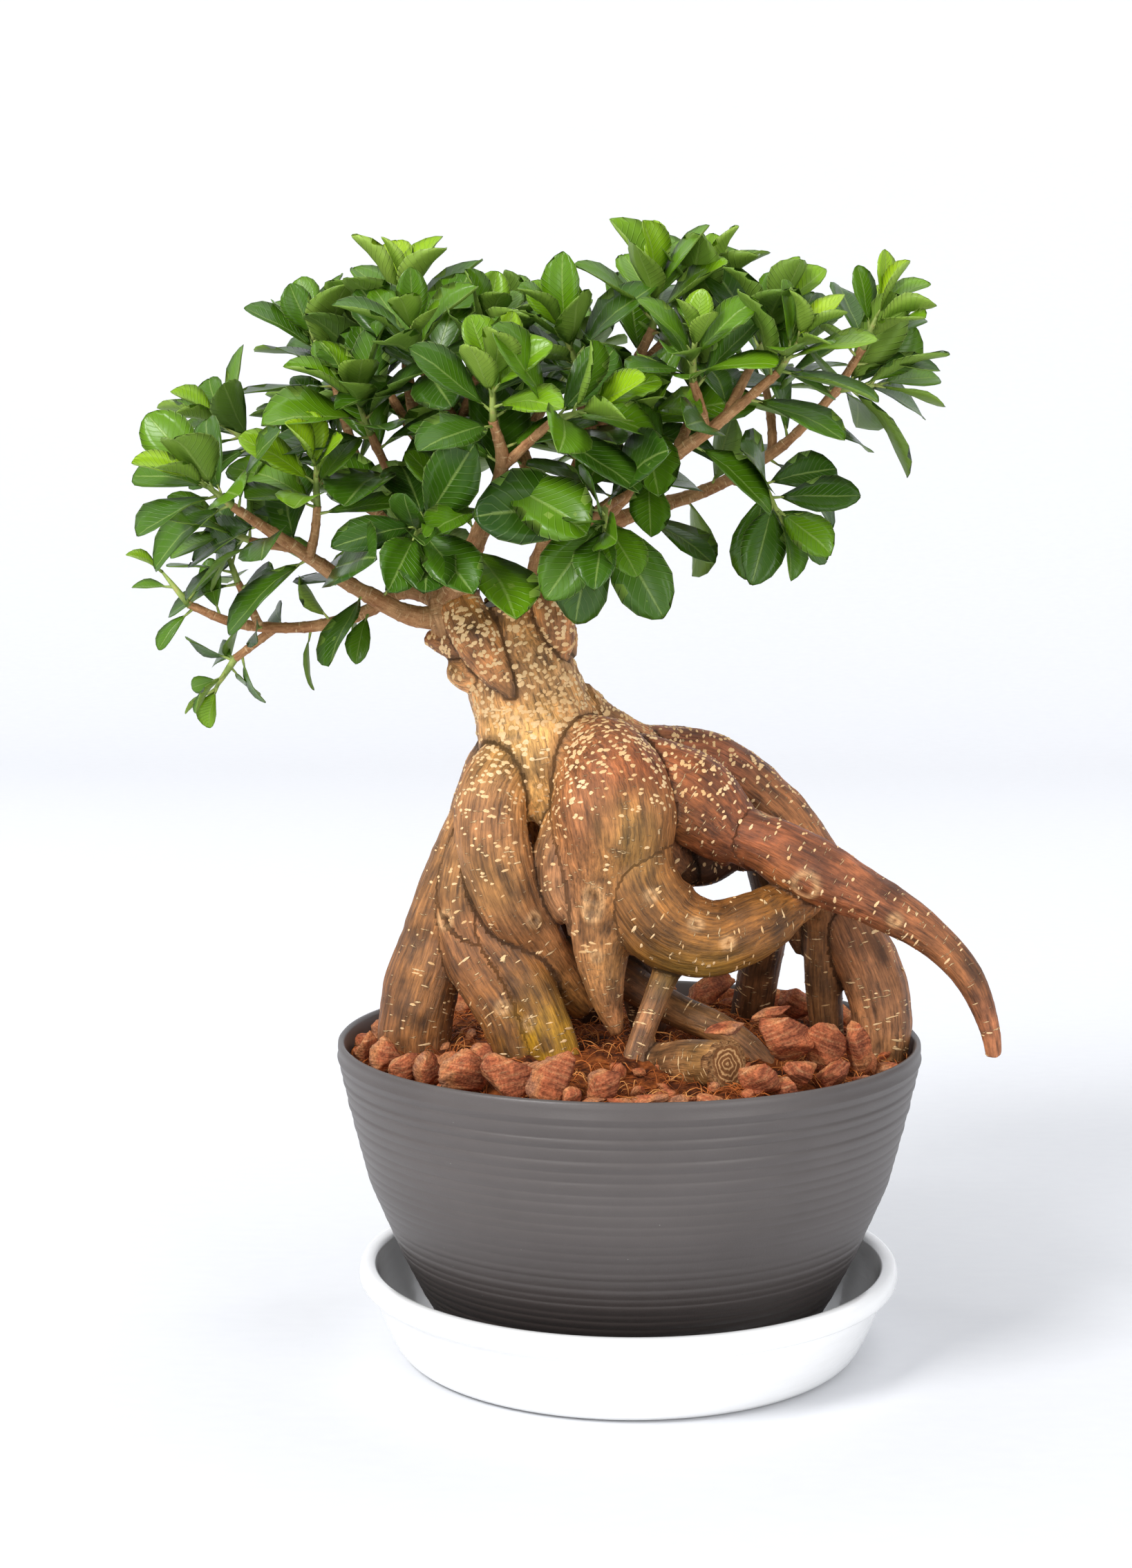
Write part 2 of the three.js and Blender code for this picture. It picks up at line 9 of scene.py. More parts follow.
import bpy
import numpy as np
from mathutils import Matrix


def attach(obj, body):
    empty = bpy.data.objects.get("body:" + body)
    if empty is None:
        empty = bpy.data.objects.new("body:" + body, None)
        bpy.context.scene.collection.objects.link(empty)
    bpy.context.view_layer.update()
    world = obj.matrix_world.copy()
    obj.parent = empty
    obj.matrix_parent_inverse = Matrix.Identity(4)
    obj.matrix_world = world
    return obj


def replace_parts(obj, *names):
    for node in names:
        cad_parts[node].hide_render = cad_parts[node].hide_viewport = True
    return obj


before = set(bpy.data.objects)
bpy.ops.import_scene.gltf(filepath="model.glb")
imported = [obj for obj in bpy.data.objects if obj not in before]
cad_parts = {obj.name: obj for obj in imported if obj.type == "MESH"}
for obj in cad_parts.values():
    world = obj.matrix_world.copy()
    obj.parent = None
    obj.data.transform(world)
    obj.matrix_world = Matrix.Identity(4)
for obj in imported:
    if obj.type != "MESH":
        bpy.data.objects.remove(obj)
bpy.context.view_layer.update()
MM = 0.001

# ------------------------------------------------------------------------------------------
# View, light and floor: a pale seamless sweep, a broad soft light over the left shoulder, a
# weaker one on the right, one overhead and a small one low in front, as on a product table.

VIEW_DISTANCE, VIEW_HEIGHT = 972.0, 330.5
VIEW_DOWN, VIEW_LEFT = 6.7, 1.4

lens = bpy.data.cameras.new("view")
lens.sensor_width = 36.0
lens.lens = 60.0
lens.clip_start = 0.02
camera = bpy.data.objects.new("view", lens)
camera.location = (0.0, -VIEW_DISTANCE * MM, VIEW_HEIGHT * MM)
camera.rotation_euler = (math.radians(90.0 - VIEW_DOWN), 0.0, math.radians(VIEW_LEFT))
bpy.context.collection.objects.link(camera)
bpy.context.scene.camera = camera


def soft_light(name, place, aim, size, watts):
    """A square soft light at `place`, turned to face the point `aim`; both in metres."""
    lamp = bpy.data.lights.new(name, "AREA")
    lamp.shape = "SQUARE"
    lamp.size = size
    lamp.energy = watts
    box = bpy.data.objects.new(name, lamp)
    box.location = place
    away = np.array(place) - np.array(aim)
    flat = math.hypot(away[0], away[1])
    box.rotation_euler = (math.atan2(flat, away[2]), 0.0, math.atan2(away[1], away[0]) + math.pi / 2)
    bpy.context.collection.objects.link(box)


soft_light("key", (-1.1, -1.2, 1.5), (0.0, 0.0, 0.2), 0.7, 33.0)
soft_light("fill", (1.2, -1.5, 0.7), (0.0, 0.0, 0.2), 1.0, 11.0)
soft_light("top", (0.1, 0.2, 1.7), (0.0, 0.0, 0.2), 1.2, 6.0)
soft_light("low_front", (-0.5, -1.5, 0.3), (-0.08, 0.0, 0.03), 0.5, 3.0)
soft_light("backdrop_left", (-1.6, 0.9, 1.6), (-0.6, 3.4, 0.6), 1.2, 20.0)
soft_light("backdrop_right", (1.6, 0.9, 1.6), (0.6, 3.4, 0.6), 1.2, 20.0)

world = bpy.data.worlds.new("studio")
world.use_nodes = True
world.node_tree.nodes["Background"].inputs["Color"].default_value = (0.93, 0.95, 1.0, 1.0)
world.node_tree.nodes["Background"].inputs["Strength"].default_value = 0.60
bpy.context.scene.world = world
bpy.context.scene.view_settings.view_transform = "Standard"


def mesh_of(name, points, *faces):
    """A mesh object from points in mm (n, 3) and one or more arrays of faces (m, corners)."""
    mesh = bpy.data.meshes.new(name)
    mesh.vertices.add(len(points))
    mesh.vertices.foreach_set("co", (np.asarray(points) * MM).astype(np.float32).ravel())
    faces = [f for f in faces if len(f)]
    corners = np.concatenate([np.full(len(f), f.shape[1]) for f in faces])
    mesh.loops.add(int(corners.sum()))
    loops = np.concatenate([f.ravel() for f in faces]).astype(np.int32)
    mesh.loops.foreach_set("vertex_index", loops)
    mesh.polygons.add(len(corners))
    starts = np.concatenate([[0], np.cumsum(corners)[:-1]]).astype(np.int32)
    mesh.polygons.foreach_set("loop_start", starts)
    mesh.polygons.foreach_set("use_smooth", np.full(len(corners), True))
    mesh.update(calc_edges=True)
    thing = bpy.data.objects.new(name, mesh)
    bpy.context.collection.objects.link(thing)
    return thing


def grid_faces(rows, columns, wrap=False):
    """Quads of a grid of rows by columns points, row after row; wrap joins the last column."""
    i, j = np.meshgrid(np.arange(rows - 1), np.arange(columns if wrap else columns - 1), indexing="ij")
    a = i * columns + j
    b = i * columns + (j + 1) % columns
    return np.stack([a, b, b + columns, a + columns], -1).reshape(-1, 4)


def material(name, roughness, specular=0.5, coat=0.0, coat_roughness=0.1):
    """A node material with its Principled shader and a small builder for its other nodes."""
    made = bpy.data.materials.new(name)
    made.use_nodes = True
    shader = made.node_tree.nodes["Principled BSDF"]
    shader.inputs["Roughness"].default_value = roughness
    shader.inputs["Specular IOR Level"].default_value = specular
    shader.inputs["Coat Weight"].default_value = coat
    shader.inputs["Coat Roughness"].default_value = coat_roughness
    return made, made.node_tree, shader


def node(tree, kind, settings=None, **inputs):
    """A shader node with its settings and its inputs, each a constant or another node's output."""
    made = tree.nodes.new("ShaderNode" + kind)
    for key, value in (settings or {}).items():
        setattr(made, key, value)
    for key, value in inputs.items():
        numbered = key[0] == "i" and key[1:].isdigit()
        socket = made.inputs[int(key[1:]) if numbered else key.replace("_", " ")]
        if isinstance(value, bpy.types.NodeSocket):
            tree.links.new(value, socket)
        else:
            socket.default_value = value
    return made


def linear(colour):
    """A colour given as it looks on screen, from 0 to 255, as the linear light shaders use."""
    c = np.array(colour, float) / 255.0
    return np.where(c <= 0.04045, c / 12.92, ((c + 0.055) / 1.055) ** 2.4)


def rgba(colour):
    """The same, as the four numbers of a colour socket."""
    return (*[float(c) for c in linear(colour)], 1.0)


def ramp(tree, value, *stops):
    """A colour ramp over `value`, its stops given as (position, on-screen colour)."""
    made = tree.nodes.new("ShaderNodeValToRGB")
    band = made.color_ramp
    while len(band.elements) < len(stops):
        band.elements.new(0.5)
    for element, (position, colour) in zip(band.elements, stops):
        element.position = position
        element.color = rgba(colour)
    tree.links.new(value, made.inputs["Fac"])
    return made.outputs["Color"]


def mix(tree, amount, a, b):
    """Colour a changed towards b by amount, which is a number or a node's output."""
    made = tree.nodes.new("ShaderNodeMix")
    made.data_type = "RGBA"
    for socket, value in ((made.inputs[0], amount), (made.inputs[6], a), (made.inputs[7], b)):
        if isinstance(value, bpy.types.NodeSocket):
            tree.links.new(value, socket)
        else:
            socket.default_value = value
    return made.outputs[2]


def bump(tree, shader, height, depth_mm):
    """Joins a bump of that depth to the shader."""
    made = node(tree, "Bump", Strength=1.0, Distance=depth_mm * MM, Height=height)
    tree.links.new(made.outputs["Normal"], shader.inputs["Normal"])


# The sweep: a flat sheet that rolls up behind the object and flares out to both sides.
across = np.linspace(-5000, 5000, 41)
run = np.linspace(0.0, 1.0, 97)
FLAT_LENGTH, FRONT_LENGTH, ROLL, WALL_LENGTH = 4200.0, 2200.0, 900.0, 2600.0
flat_end = FLAT_LENGTH - FRONT_LENGTH
reach = run * (FLAT_LENGTH + ROLL * math.pi / 2 + WALL_LENGTH) - FRONT_LENGTH
turn = np.clip((reach - flat_end) / ROLL, 0.0, math.pi / 2)
rise = np.clip(reach - flat_end - ROLL * math.pi / 2, 0.0, None)
sweep_y = np.minimum(reach, flat_end) + ROLL * np.sin(turn)
sweep_z = ROLL * (1.0 - np.cos(turn)) + rise
sweep = np.stack(
    [np.tile(across, len(run)), np.repeat(sweep_y, len(across)), np.repeat(sweep_z, len(across))], -1
)
floor = mesh_of("floor_sweep", sweep, grid_faces(len(run), len(across)))
paper, tree, shader = material("sweep_paper", 0.9, specular=0.1)
grain = node(tree, "TexNoise", Scale=900.0, Detail=2.0)
tree.links.new(
    ramp(tree, grain.outputs["Fac"], (0.0, (226, 227, 230)), (1.0, (230, 231, 233))),
    shader.inputs["Base Color"],
)
floor.data.materials.append(paper)

# ------------------------------------------------------------------------------------------
# Saucer: one turned dish of white glazed earthenware with a thick rolled lip. It stands flat
# on the floor and carries the pot.


def turned(name, profile, sides):
    """A surface of revolution: each (radius, height) of the closed profile carried round Z;
    the two ends of the profile lie on the axis and close as a fan of triangles."""
    radius, height = np.asarray(profile, float)[1:-1].T
    angle = np.arange(sides) * (2 * math.pi / sides)
    ring = np.stack([np.cos(angle), np.sin(angle)], -1)
    xy = radius[:, None, None] * ring[None]
    z = np.broadcast_to(height[:, None, None], (len(radius), sides, 1))
    body = np.concatenate([xy, z], -1).reshape(-1, 3)
    points = np.concatenate([body, [[0, 0, profile[0][1]], [0, 0, profile[-1][1]]]])
    here = np.arange(sides)
    there = (here + 1) % sides
    last = (len(radius) - 1) * sides
    first_fan = np.stack([np.full(sides, len(body)), there, here], -1)
    last_fan = np.stack([np.full(sides, len(body) + 1), here + last, there + last], -1)
    wall = grid_faces(len(radius), sides, wrap=True)
    return mesh_of(name, points, wall, first_fan, last_fan)


def rounded(corners, times=3):
    """A profile whose corners are cut by Chaikin's rule, a quarter from each end of each side."""
    line = np.asarray(corners, float)
    for _ in range(times):
        a, b = line[:-1], line[1:]
        cut = np.stack([0.75 * a + 0.25 * b, 0.25 * a + 0.75 * b], 1).reshape(-1, 2)
        line = np.concatenate([line[:1], cut, line[-1:]])
    return line


SAUCER_PROFILE = [
    (0, 0), (40, 0), (79, 0), (82, 0), (85, 0.9), (88.5, 4), (92.5, 12), (96, 21), (97.6, 26.5),
    (98.6, 27.6), (101.2, 27.6), (102.4, 29.6), (102.4, 33), (101.2, 35.3), (98.6, 35.8),
    (96.4, 35), (95.4, 32.5), (93.6, 24), (87, 12), (80, 6), (74, 4.5), (40, 4.5), (0, 4.5),
]
SAUCER_SIDES = 160
saucer = turned("saucer_glazed", rounded(SAUCER_PROFILE), SAUCER_SIDES)
glaze, tree, shader = material("white_glaze", 0.16, specular=0.55, coat=0.5, coat_roughness=0.05)
ripple = node(tree, "TexNoise", Scale=14.0, Detail=2.0)
fleck = node(tree, "TexNoise", Scale=420.0, Detail=3.0)
tree.links.new(
    mix(
        tree,
        fleck.outputs["Fac"],
        ramp(tree, ripple.outputs["Fac"], (0.3, (242, 242, 240)), (0.7, (248, 248, 247))),
        rgba((250, 250, 250)),
    ),
    shader.inputs["Base Color"],
)
bump(tree, shader, ripple.outputs["Fac"], 0.12)
saucer.data.materials.append(glaze)
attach(saucer, "root")
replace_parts(saucer, "saucer")

# ------------------------------------------------------------------------------------------
# Pot: a thin bowl moulded in dark grey plastic with a satin skin. Soft steps run round its
# outside, uneven in pitch and closer together near the foot; the rim is plain and rounded.

WALL = 2.6
FLARE = [(62, 4.8), (66.5, 8.3), (72, 14.7), (77.5, 24), (86.5, 42), (97.5, 68), (105.5, 98), (109.6, 116)]
flare_radius, flare_height = np.array(FLARE).T
RIBS = 30


def ribbed_wall(height):
    """Outer radius at each height: the smooth flare with a slight belly, plus one rounded rib
    between each two grooves, fullest a little above its middle. Groove k stands at
    8.6 + 2.78 k + 0.027 k squared, each moved a little; the ribs are weaker half way up."""
    k = np.arange(RIBS + 1.0)
    grooves = 8.6 + 2.78 * k + 0.027 * k**2 + 0.4 * np.sin(2.4 * k)
    depths = (0.42 + 0.30 * np.abs(np.sin(1.7 * k))) * (0.72 + 0.35 * np.cos(k * 2 * math.pi / RIBS))
    smooth = np.interp(height, flare_height, flare_radius)
    belly = 0.8 * np.sin(np.clip((height - 14.0) / 90.0, 0, 1) * math.pi)
    below = np.clip(np.searchsorted(grooves, height) - 1, 0, RIBS - 1)
    share = (height - grooves[below]) / (grooves[below + 1] - grooves[below])
    inside = (height > grooves[0]) & (height < grooves[-1])
    rib = depths[below] * np.sin(math.pi * np.clip(share, 0, 1) ** 1.35) ** 0.6
    return smooth + belly + np.where(inside, rib, 0.0)


wall_heights = np.arange(8.0, 115.2, 0.36)
outer = np.stack([ribbed_wall(wall_heights), wall_heights], -1)
inner = [(np.interp(z, flare_height, flare_radius) - WALL, z) for z in range(112, 10, -6)]
pot_profile = [(0, 6.3), (56.5, 6.3), (58, 4.8), (61.5, 4.8), (63.5, 5.6), *outer.tolist()]
pot_profile += [(109.4, 116), (109.8, 118.2), (109.7, 120), (108.9, 120.9), (107.9, 120.7), (107.3, 119.6)]
pot_profile += [*inner, (60, 9.4), (0, 9.4)]
POT_SIDES = 180
pot = turned("pot_bowl", pot_profile, POT_SIDES)
plastic, tree, shader = material("pot_plastic", 0.42, specular=0.5)
place = node(tree, "TexCoord").outputs["Object"]
cloud = node(tree, "TexNoise", Vector=place, Scale=22.0, Detail=4.0, Roughness=0.6)
pores = node(tree, "TexNoise", Vector=place, Scale=1500.0, Detail=2.0)
dust = node(tree, "TexVoronoi", Vector=place, Scale=160.0, Randomness=1.0)
speck = node(tree, "MapRange", Value=dust.outputs["Distance"], From_Min=0.035, From_Max=0.02)
height_here = node(tree, "SeparateXYZ", Vector=place).outputs["Z"]
# Painted shade: the plastic's colour darkens towards the foot, where the flare overhangs and lies in shade.
low_down = node(tree, "MapRange", Value=height_here, From_Min=0.085, From_Max=0.015)
body_colour = ramp(tree, cloud.outputs["Fac"], (0.3, (80, 74, 72)), (0.7, (88, 82, 80)))
painted_shade_foot = mix(tree, low_down.outputs["Result"], body_colour, rgba((44, 36, 33)))
rare = node(tree, "MapRange", Value=cloud.outputs["Fac"], From_Min=0.52, From_Max=0.6)
speck_here = node(
    tree, "Math", {"operation": "MULTIPLY"}, i0=speck.outputs["Result"], i1=rare.outputs["Result"]
)
tree.links.new(
    mix(tree, speck_here.outputs[0], painted_shade_foot, rgba((150, 148, 142))), shader.inputs["Base Color"]
)
rough = node(tree, "MapRange", Value=cloud.outputs["Fac"], To_Min=0.36, To_Max=0.48)
tree.links.new(rough.outputs["Result"], shader.inputs["Roughness"])
bump(tree, shader, pores.outputs["Fac"], 0.05)
pot.data.materials.append(plastic)
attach(pot, "root")
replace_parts(pot, "pot")

# ------------------------------------------------------------------------------------------
# Potting mix: coir and peat, heaped a little towards the middle, with loose hairs of coir
# standing out of it. It fills the pot and the roots run down into it.


def lumps(points, size, seed):
    """A smooth random field from -1 to 1: random values on a cubic lattice `size` mm apart,
    joined between the eight corners round each point by the smoothstep curve."""
    spot = np.asarray(points, float) / size
    cell = np.floor(spot).astype(np.int64)
    share = spot - cell
    share = share * share * (3.0 - 2.0 * share)
    total = np.zeros(spot.shape[:-1])
    for corner in range(8):
        bit = np.array([corner & 1, corner >> 1 & 1, corner >> 2 & 1])
        key = (cell + bit) @ np.array([73856093, 19349663, 83492791]) + seed * 265443576
        key = (key ^ (key >> 13)) * 1274126177 & 0xFFFFFFFF
        key = (key ^ (key >> 15)) * 668265263 & 0xFFFFFFFF
        value = ((key ^ (key >> 16)) & 0xFFFF) / 32767.5 - 1.0
        total = total + value * np.prod(np.where(bit, share, 1.0 - share), axis=-1)
    return total


def soil_height(x, y):
    """Height of the mix: a low cosine mound that is 113 mm at the wall and 122 in the middle,
    roughened by three sizes of lump."""
    away = np.hypot(x, y)
    mound = 113.0 + 9.5 * np.cos(np.clip(away / 106.0, 0, 1) * math.pi / 2) ** 0.8
    spot = np.stack([x, y, np.zeros_like(x)], -1)
    rough = 1.6 * lumps(spot, 16.0, 3) + 1.1 * lumps(spot, 6.0, 4) + 0.7 * lumps(spot, 2.6, 5)
    return mound + rough * np.clip((107.0 - away) / 6.0, 0.2, 1.0)


SOIL_RINGS, SOIL_SIDES = 110, 300
soil_ring = np.linspace(0.6, 106.2, SOIL_RINGS)
soil_turn = np.arange(SOIL_SIDES) * (2 * math.pi / SOIL_SIDES)
ring_grid, turn_grid = np.meshgrid(soil_ring, soil_turn, indexing="ij")
soil_x, soil_y = ring_grid * np.cos(turn_grid), ring_grid * np.sin(turn_grid)
soil_top = np.stack([soil_x, soil_y, soil_height(soil_x, soil_y)], -1).reshape(-1, 3)
skirt_heights = [90.0, 60.0, 30.0, 10.0]
skirt = np.concatenate([
    np.stack([
        (np.interp(z, flare_height, flare_radius) - WALL - 0.4) * np.cos(soil_turn),
        (np.interp(z, flare_height, flare_radius) - WALL - 0.4) * np.sin(soil_turn),
        np.full(SOIL_SIDES, z),
    ], -1)
    for z in skirt_heights
])
middle_height = soil_height(np.zeros(1), np.zeros(1))[0]
soil_points = np.concatenate([soil_top, skirt, [[0, 0, middle_height], [0, 0, skirt_heights[-1]]]])
here, there = np.arange(SOIL_SIDES), (np.arange(SOIL_SIDES) + 1) % SOIL_SIDES
wall_rings = SOIL_RINGS + len(skirt_heights)
last_ring = (wall_rings - 1) * SOIL_SIDES
soil = mesh_of(
    "potting_mix_coir",
    soil_points,
    grid_faces(wall_rings, SOIL_SIDES, wrap=True)[:, ::-1],
    np.stack([np.full(SOIL_SIDES, len(soil_points) - 2), here, there], -1),
    np.stack([np.full(SOIL_SIDES, len(soil_points) - 1), there + last_ring, here + last_ring], -1),
)
coir, tree, shader = material("coir_mix", 0.95, specular=0.15)
place = node(tree, "TexCoord").outputs["Object"]
clods = node(tree, "TexNoise", Vector=place, Scale=120.0, Detail=6.0, Roughness=0.7)
crumbs = node(tree, "TexVoronoi", Vector=place, Scale=420.0)
tree.links.new(
    mix(
        tree,
        0.45,
        ramp(
            tree, clods.outputs["Fac"],
            (0.3, (36, 18, 10)), (0.45, (96, 46, 20)), (0.58, (160, 84, 36)), (0.75, (204, 124, 60)),
        ),
        ramp(tree, crumbs.outputs["Distance"], (0.0, (150, 84, 42)), (0.6, (30, 16, 10))),
    ),
    shader.inputs["Base Color"],
)
bump(tree, shader, crumbs.outputs["Distance"], 0.9)
soil.data.materials.append(coir)
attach(soil, "root")
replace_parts(soil, "potting_mix")


SLANT = (0.13, 0.97, 0.21)  # sets where the seam of each tube lies


def strands(paths, radii, sides):
    """Tubes along many paths at once. paths is (n, m, 3) and radii (n, m): round each point a
    ring of `sides` points, square to the path, and a cap of triangles at both ends."""
    count, length = paths.shape[:2]
    way = np.gradient(paths, axis=1)
    way /= np.linalg.norm(way, axis=-1, keepdims=True) + 1e-9
    side = np.cross(way, SLANT)
    side /= np.linalg.norm(side, axis=-1, keepdims=True) + 1e-9
    out = np.cross(side, way)
    angle = np.arange(sides) * (2 * math.pi / sides)
    ring = (
        side[:, :, None] * np.cos(angle)[None, None, :, None]
        + out[:, :, None] * np.sin(angle)[None, None, :, None]
    )
    points = paths[:, :, None] + ring * radii[:, :, None, None]
    ends = paths[:, [0, -1]]
    per = length * sides + 2
    points = np.concatenate([points.reshape(count, -1, 3), ends], 1).reshape(-1, 3)
    here = np.arange(sides)
    there = (here + 1) % sides
    last = (length - 1) * sides
    caps = np.concatenate([
        np.stack([np.full(sides, length * sides), there, here], -1),
        np.stack([np.full(sides, length * sides + 1), here + last, there + last], -1),
    ])
    wall = grid_faces(length, sides, wrap=True)
    offset = (np.arange(count) * per)[:, None, None]
    return points, (wall[None] + offset).reshape(-1, 4), (caps[None] + offset).reshape(-1, 3)


chance = np.random.default_rng(41)
HAIRS, HAIR_STEPS, HAIR_RADIUS = 1500, 7, 0.16
hair_away = 104.0 * np.sqrt(chance.random(HAIRS))
hair_turn = chance.random(HAIRS) * 2 * math.pi
hair_way = chance.random(HAIRS) * 2 * math.pi
hair_long = 6.0 + 14.0 * chance.random(HAIRS) ** 2
along = np.linspace(-0.5, 0.5, HAIR_STEPS)
curl = (chance.random((HAIRS, 1)) - 0.5) * 3.0
heading = hair_way[:, None] + curl * along[None]
hair_x = (hair_away * np.cos(hair_turn))[:, None] + hair_long[:, None] * along * np.cos(heading)
hair_y = (hair_away * np.sin(hair_turn))[:, None] + hair_long[:, None] * along * np.sin(heading)
pull = np.minimum(1.0, 104.5 / np.hypot(hair_x, hair_y))
hair_x, hair_y = hair_x * pull, hair_y * pull
arch = (1.2 + 3.5 * chance.random((HAIRS, 1)) ** 2) * np.cos(along * math.pi)[None] ** 0.8
hair_z = soil_height(hair_x, hair_y) - 0.4 + arch
hair_radii = np.full((HAIRS, HAIR_STEPS), HAIR_RADIUS) * (0.7 + chance.random((HAIRS, 1)))
hair_paths = np.stack([hair_x, hair_y, hair_z], -1)
hair_points, hair_walls, hair_caps = strands(hair_paths, hair_radii, 3)
hairs = mesh_of("coir_hairs", hair_points, hair_walls, hair_caps)
hair_skin, tree, shader = material("coir_fibre", 0.8, specular=0.3)
place = node(tree, "TexCoord").outputs["Object"]
shade = node(tree, "TexNoise", Vector=place, Scale=90.0, Detail=3.0)
tree.links.new(
    ramp(tree, shade.outputs["Fac"], (0.3, (110, 52, 20)), (0.5, (190, 104, 44)), (0.7, (236, 172, 100))),
    shader.inputs["Base Color"],
)
hairs.data.materials.append(hair_skin)
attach(hairs, "root")

# ------------------------------------------------------------------------------------------
# Rootstock: trunk and fat aerial roots grown into one piece of wood. The smooth bark wrinkles
# along each root and carries corky cream dashes across it. Routes are rows of x, y, z, radius.

ROOTS = {
    "trunk": [(-45, 0, 300, 13), (-45, 0, 275, 15), (-40, 0, 257, 21), (-36, 0, 244, 23), (-32, -1, 228, 25),
              (-28, -2, 205, 18)],
    "trunk_flare": [(-31, 2, 262, 9), (-23, 2, 248, 9.5), (-10, 4, 236, 10), (4, 8, 228, 10)],
    "left_flap": [(-63, -8, 285, 8.5), (-57, -13, 273, 9), (-50, -16, 262, 7), (-43, -19, 252, 3.5)],
    "left_heel": [(-52, -6, 276, 9), (-63, -7, 271, 8), (-76, -4, 271, 2.5)],
    "left_ledge": [(-52, -4, 262, 10), (-60, -5, 259, 8), (-67, -4, 261, 4)],
    "right_shoulder": [(-32, 2, 252, 10), (-29, 2, 268, 9.5), (-29, 2, 286, 7.5)],
    "right_tongue": [(-30, -2, 292, 8), (-28, -7, 278, 8.5), (-26, -8, 266, 5.5)],
    "left_outer": [(-40, 2, 226, 19), (-52, 0, 208, 15), (-63, -3, 185, 13), (-73, -7, 156, 13.5),
                   (-80, -11, 130, 14.5), (-81, -14, 98, 12)],
    "left_front": [(-43, -8, 231, 11), (-50, -20, 215, 12.5), (-50, -26, 194, 13.5), (-43, -25, 174, 12.5),
                   (-32, -20, 157, 10.5), (-15, -14, 134, 6.5)],
    "left_web": [(-58, -8, 200, 8), (-61, -13, 178, 10.5), (-54, -18, 154, 11)],
    "left_inner": [(-67, -6, 178, 10.5), (-56, -16, 155, 13), (-43, -26, 134, 12.5), (-36, -32, 104, 9.5)],
    "left_inner_flank": [(-52, -20, 166, 8), (-37, -29, 146, 10), (-28, -36, 126, 9), (-22, -38, 100, 8)],
    "back_root": [(-34, 10, 222, 15), (-29, 15, 185, 13), (-20, 20, 148, 10.5), (-15, 26, 98, 9)],
    "bulb": [(-18, -8, 234, 10), (-10, -18, 225, 19), (-6, -25, 208, 23), (-7, -27, 190, 19.5),
             (-10, -30, 170, 13), (-10, -32, 155, 10), (-8, -34, 142, 6.5), (-4, -34, 128, 2.5)],
    "bulb_lobe": [(-14, -14, 214, 12), (-21, -21, 198, 13), (-22, -25, 185, 12), (-17, -28, 172, 9.5)],
    "bulb_back": [(0, -10, 206, 16), (8, -6, 193, 14), (17, -4, 183, 10)],
    "loop": [(-3, -26, 198, 18.5), (3, -31, 182, 16), (14, -34, 169, 16), (30, -34, 164, 14),
             (46, -29, 168, 12.5), (60, -21, 174, 9), (70, -16, 176, 4.5)],
    "arch": [(-20, 8, 226, 16), (6, 18, 225, 12.5), (30, 22, 221, 13), (52, 19, 206, 12), (70, 11, 186, 11),
             (84, 4, 162, 11.5), (94, 0, 136, 12), (95, -3, 116, 10.5), (92, -5, 97, 9.5)],
    "reach_shoulder": [(-20, -2, 225, 14), (6, -8, 221, 14), (24, -11, 211, 16.5), (42, -15, 197, 11)],
    # This root fills the shaded underside behind the shoulder; its dark bark colour is painted shade.
    "under_shoulder": [
        (4, 5, 204, 14), (15, 6, 192, 15), (27, 8, 188, 12), (38, 9, 192, 10), (49, 11, 190, 8)
    ],
    "reach": [(38, -15, 201, 10), (52, -21, 196, 11.5), (72, -27, 186, 11.5), (92, -32, 176, 9),
              (112, -35, 163, 7), (124, -36, 149, 5.5), (131, -36, 132, 3.8), (133, -36, 121, 3)],
    "stilt": [(19, -32, 162, 6.5), (12, -34, 147, 5), (3, -43, 124, 4.5), (-7, -54, 97, 4)],
    "hidden_root": [(-12, -6, 182, 11), (0, -3, 156, 9), (7, 0, 128, 7.5), (9, 2, 104, 7)],
    "back_stub": [(50, 14, 196, 9), (55, 24, 168, 8), (51, 38, 138, 8), (46, 48, 98, 8.5)],
    "broken_root": [(62, 9, 182, 7), (63, 11, 166, 7), (66, 13, 150, 2.5)],
    "upright": [(70, -8, 182, 7.5), (73, 3, 166, 7.5), (74, 9, 140, 7), (78, 10, 98, 6)],
    "creeper": [(-24, -12, 156, 8.5), (-4, -13, 146, 7.5), (16, -19, 135, 6.5), (39, -29, 126, 5.5),
                (58, -40, 110, 4)],
    "cut_stub": [(-22, -36, 102, 7.5), (-8, -28, 104, 7.5), (6, -34, 114, 8), (20, -54, 122, 8.5),
                 (34, -73, 126, 9)],
}
# Roots that grew together without a fold between them share a family letter.
FAMILY = {
    "bulb": "b", "bulb_lobe": "b", "bulb_back": "b", "loop": "b", "reach_shoulder": "r",
    "under_shoulder": "r",
    "reach": "r", "trunk": "t", "trunk_flare": "t", "left_ledge": "t", "left_outer": "l", "left_web": "l",
    "left_inner": "l", "left_inner_flank": "l", "arch": "a",
}


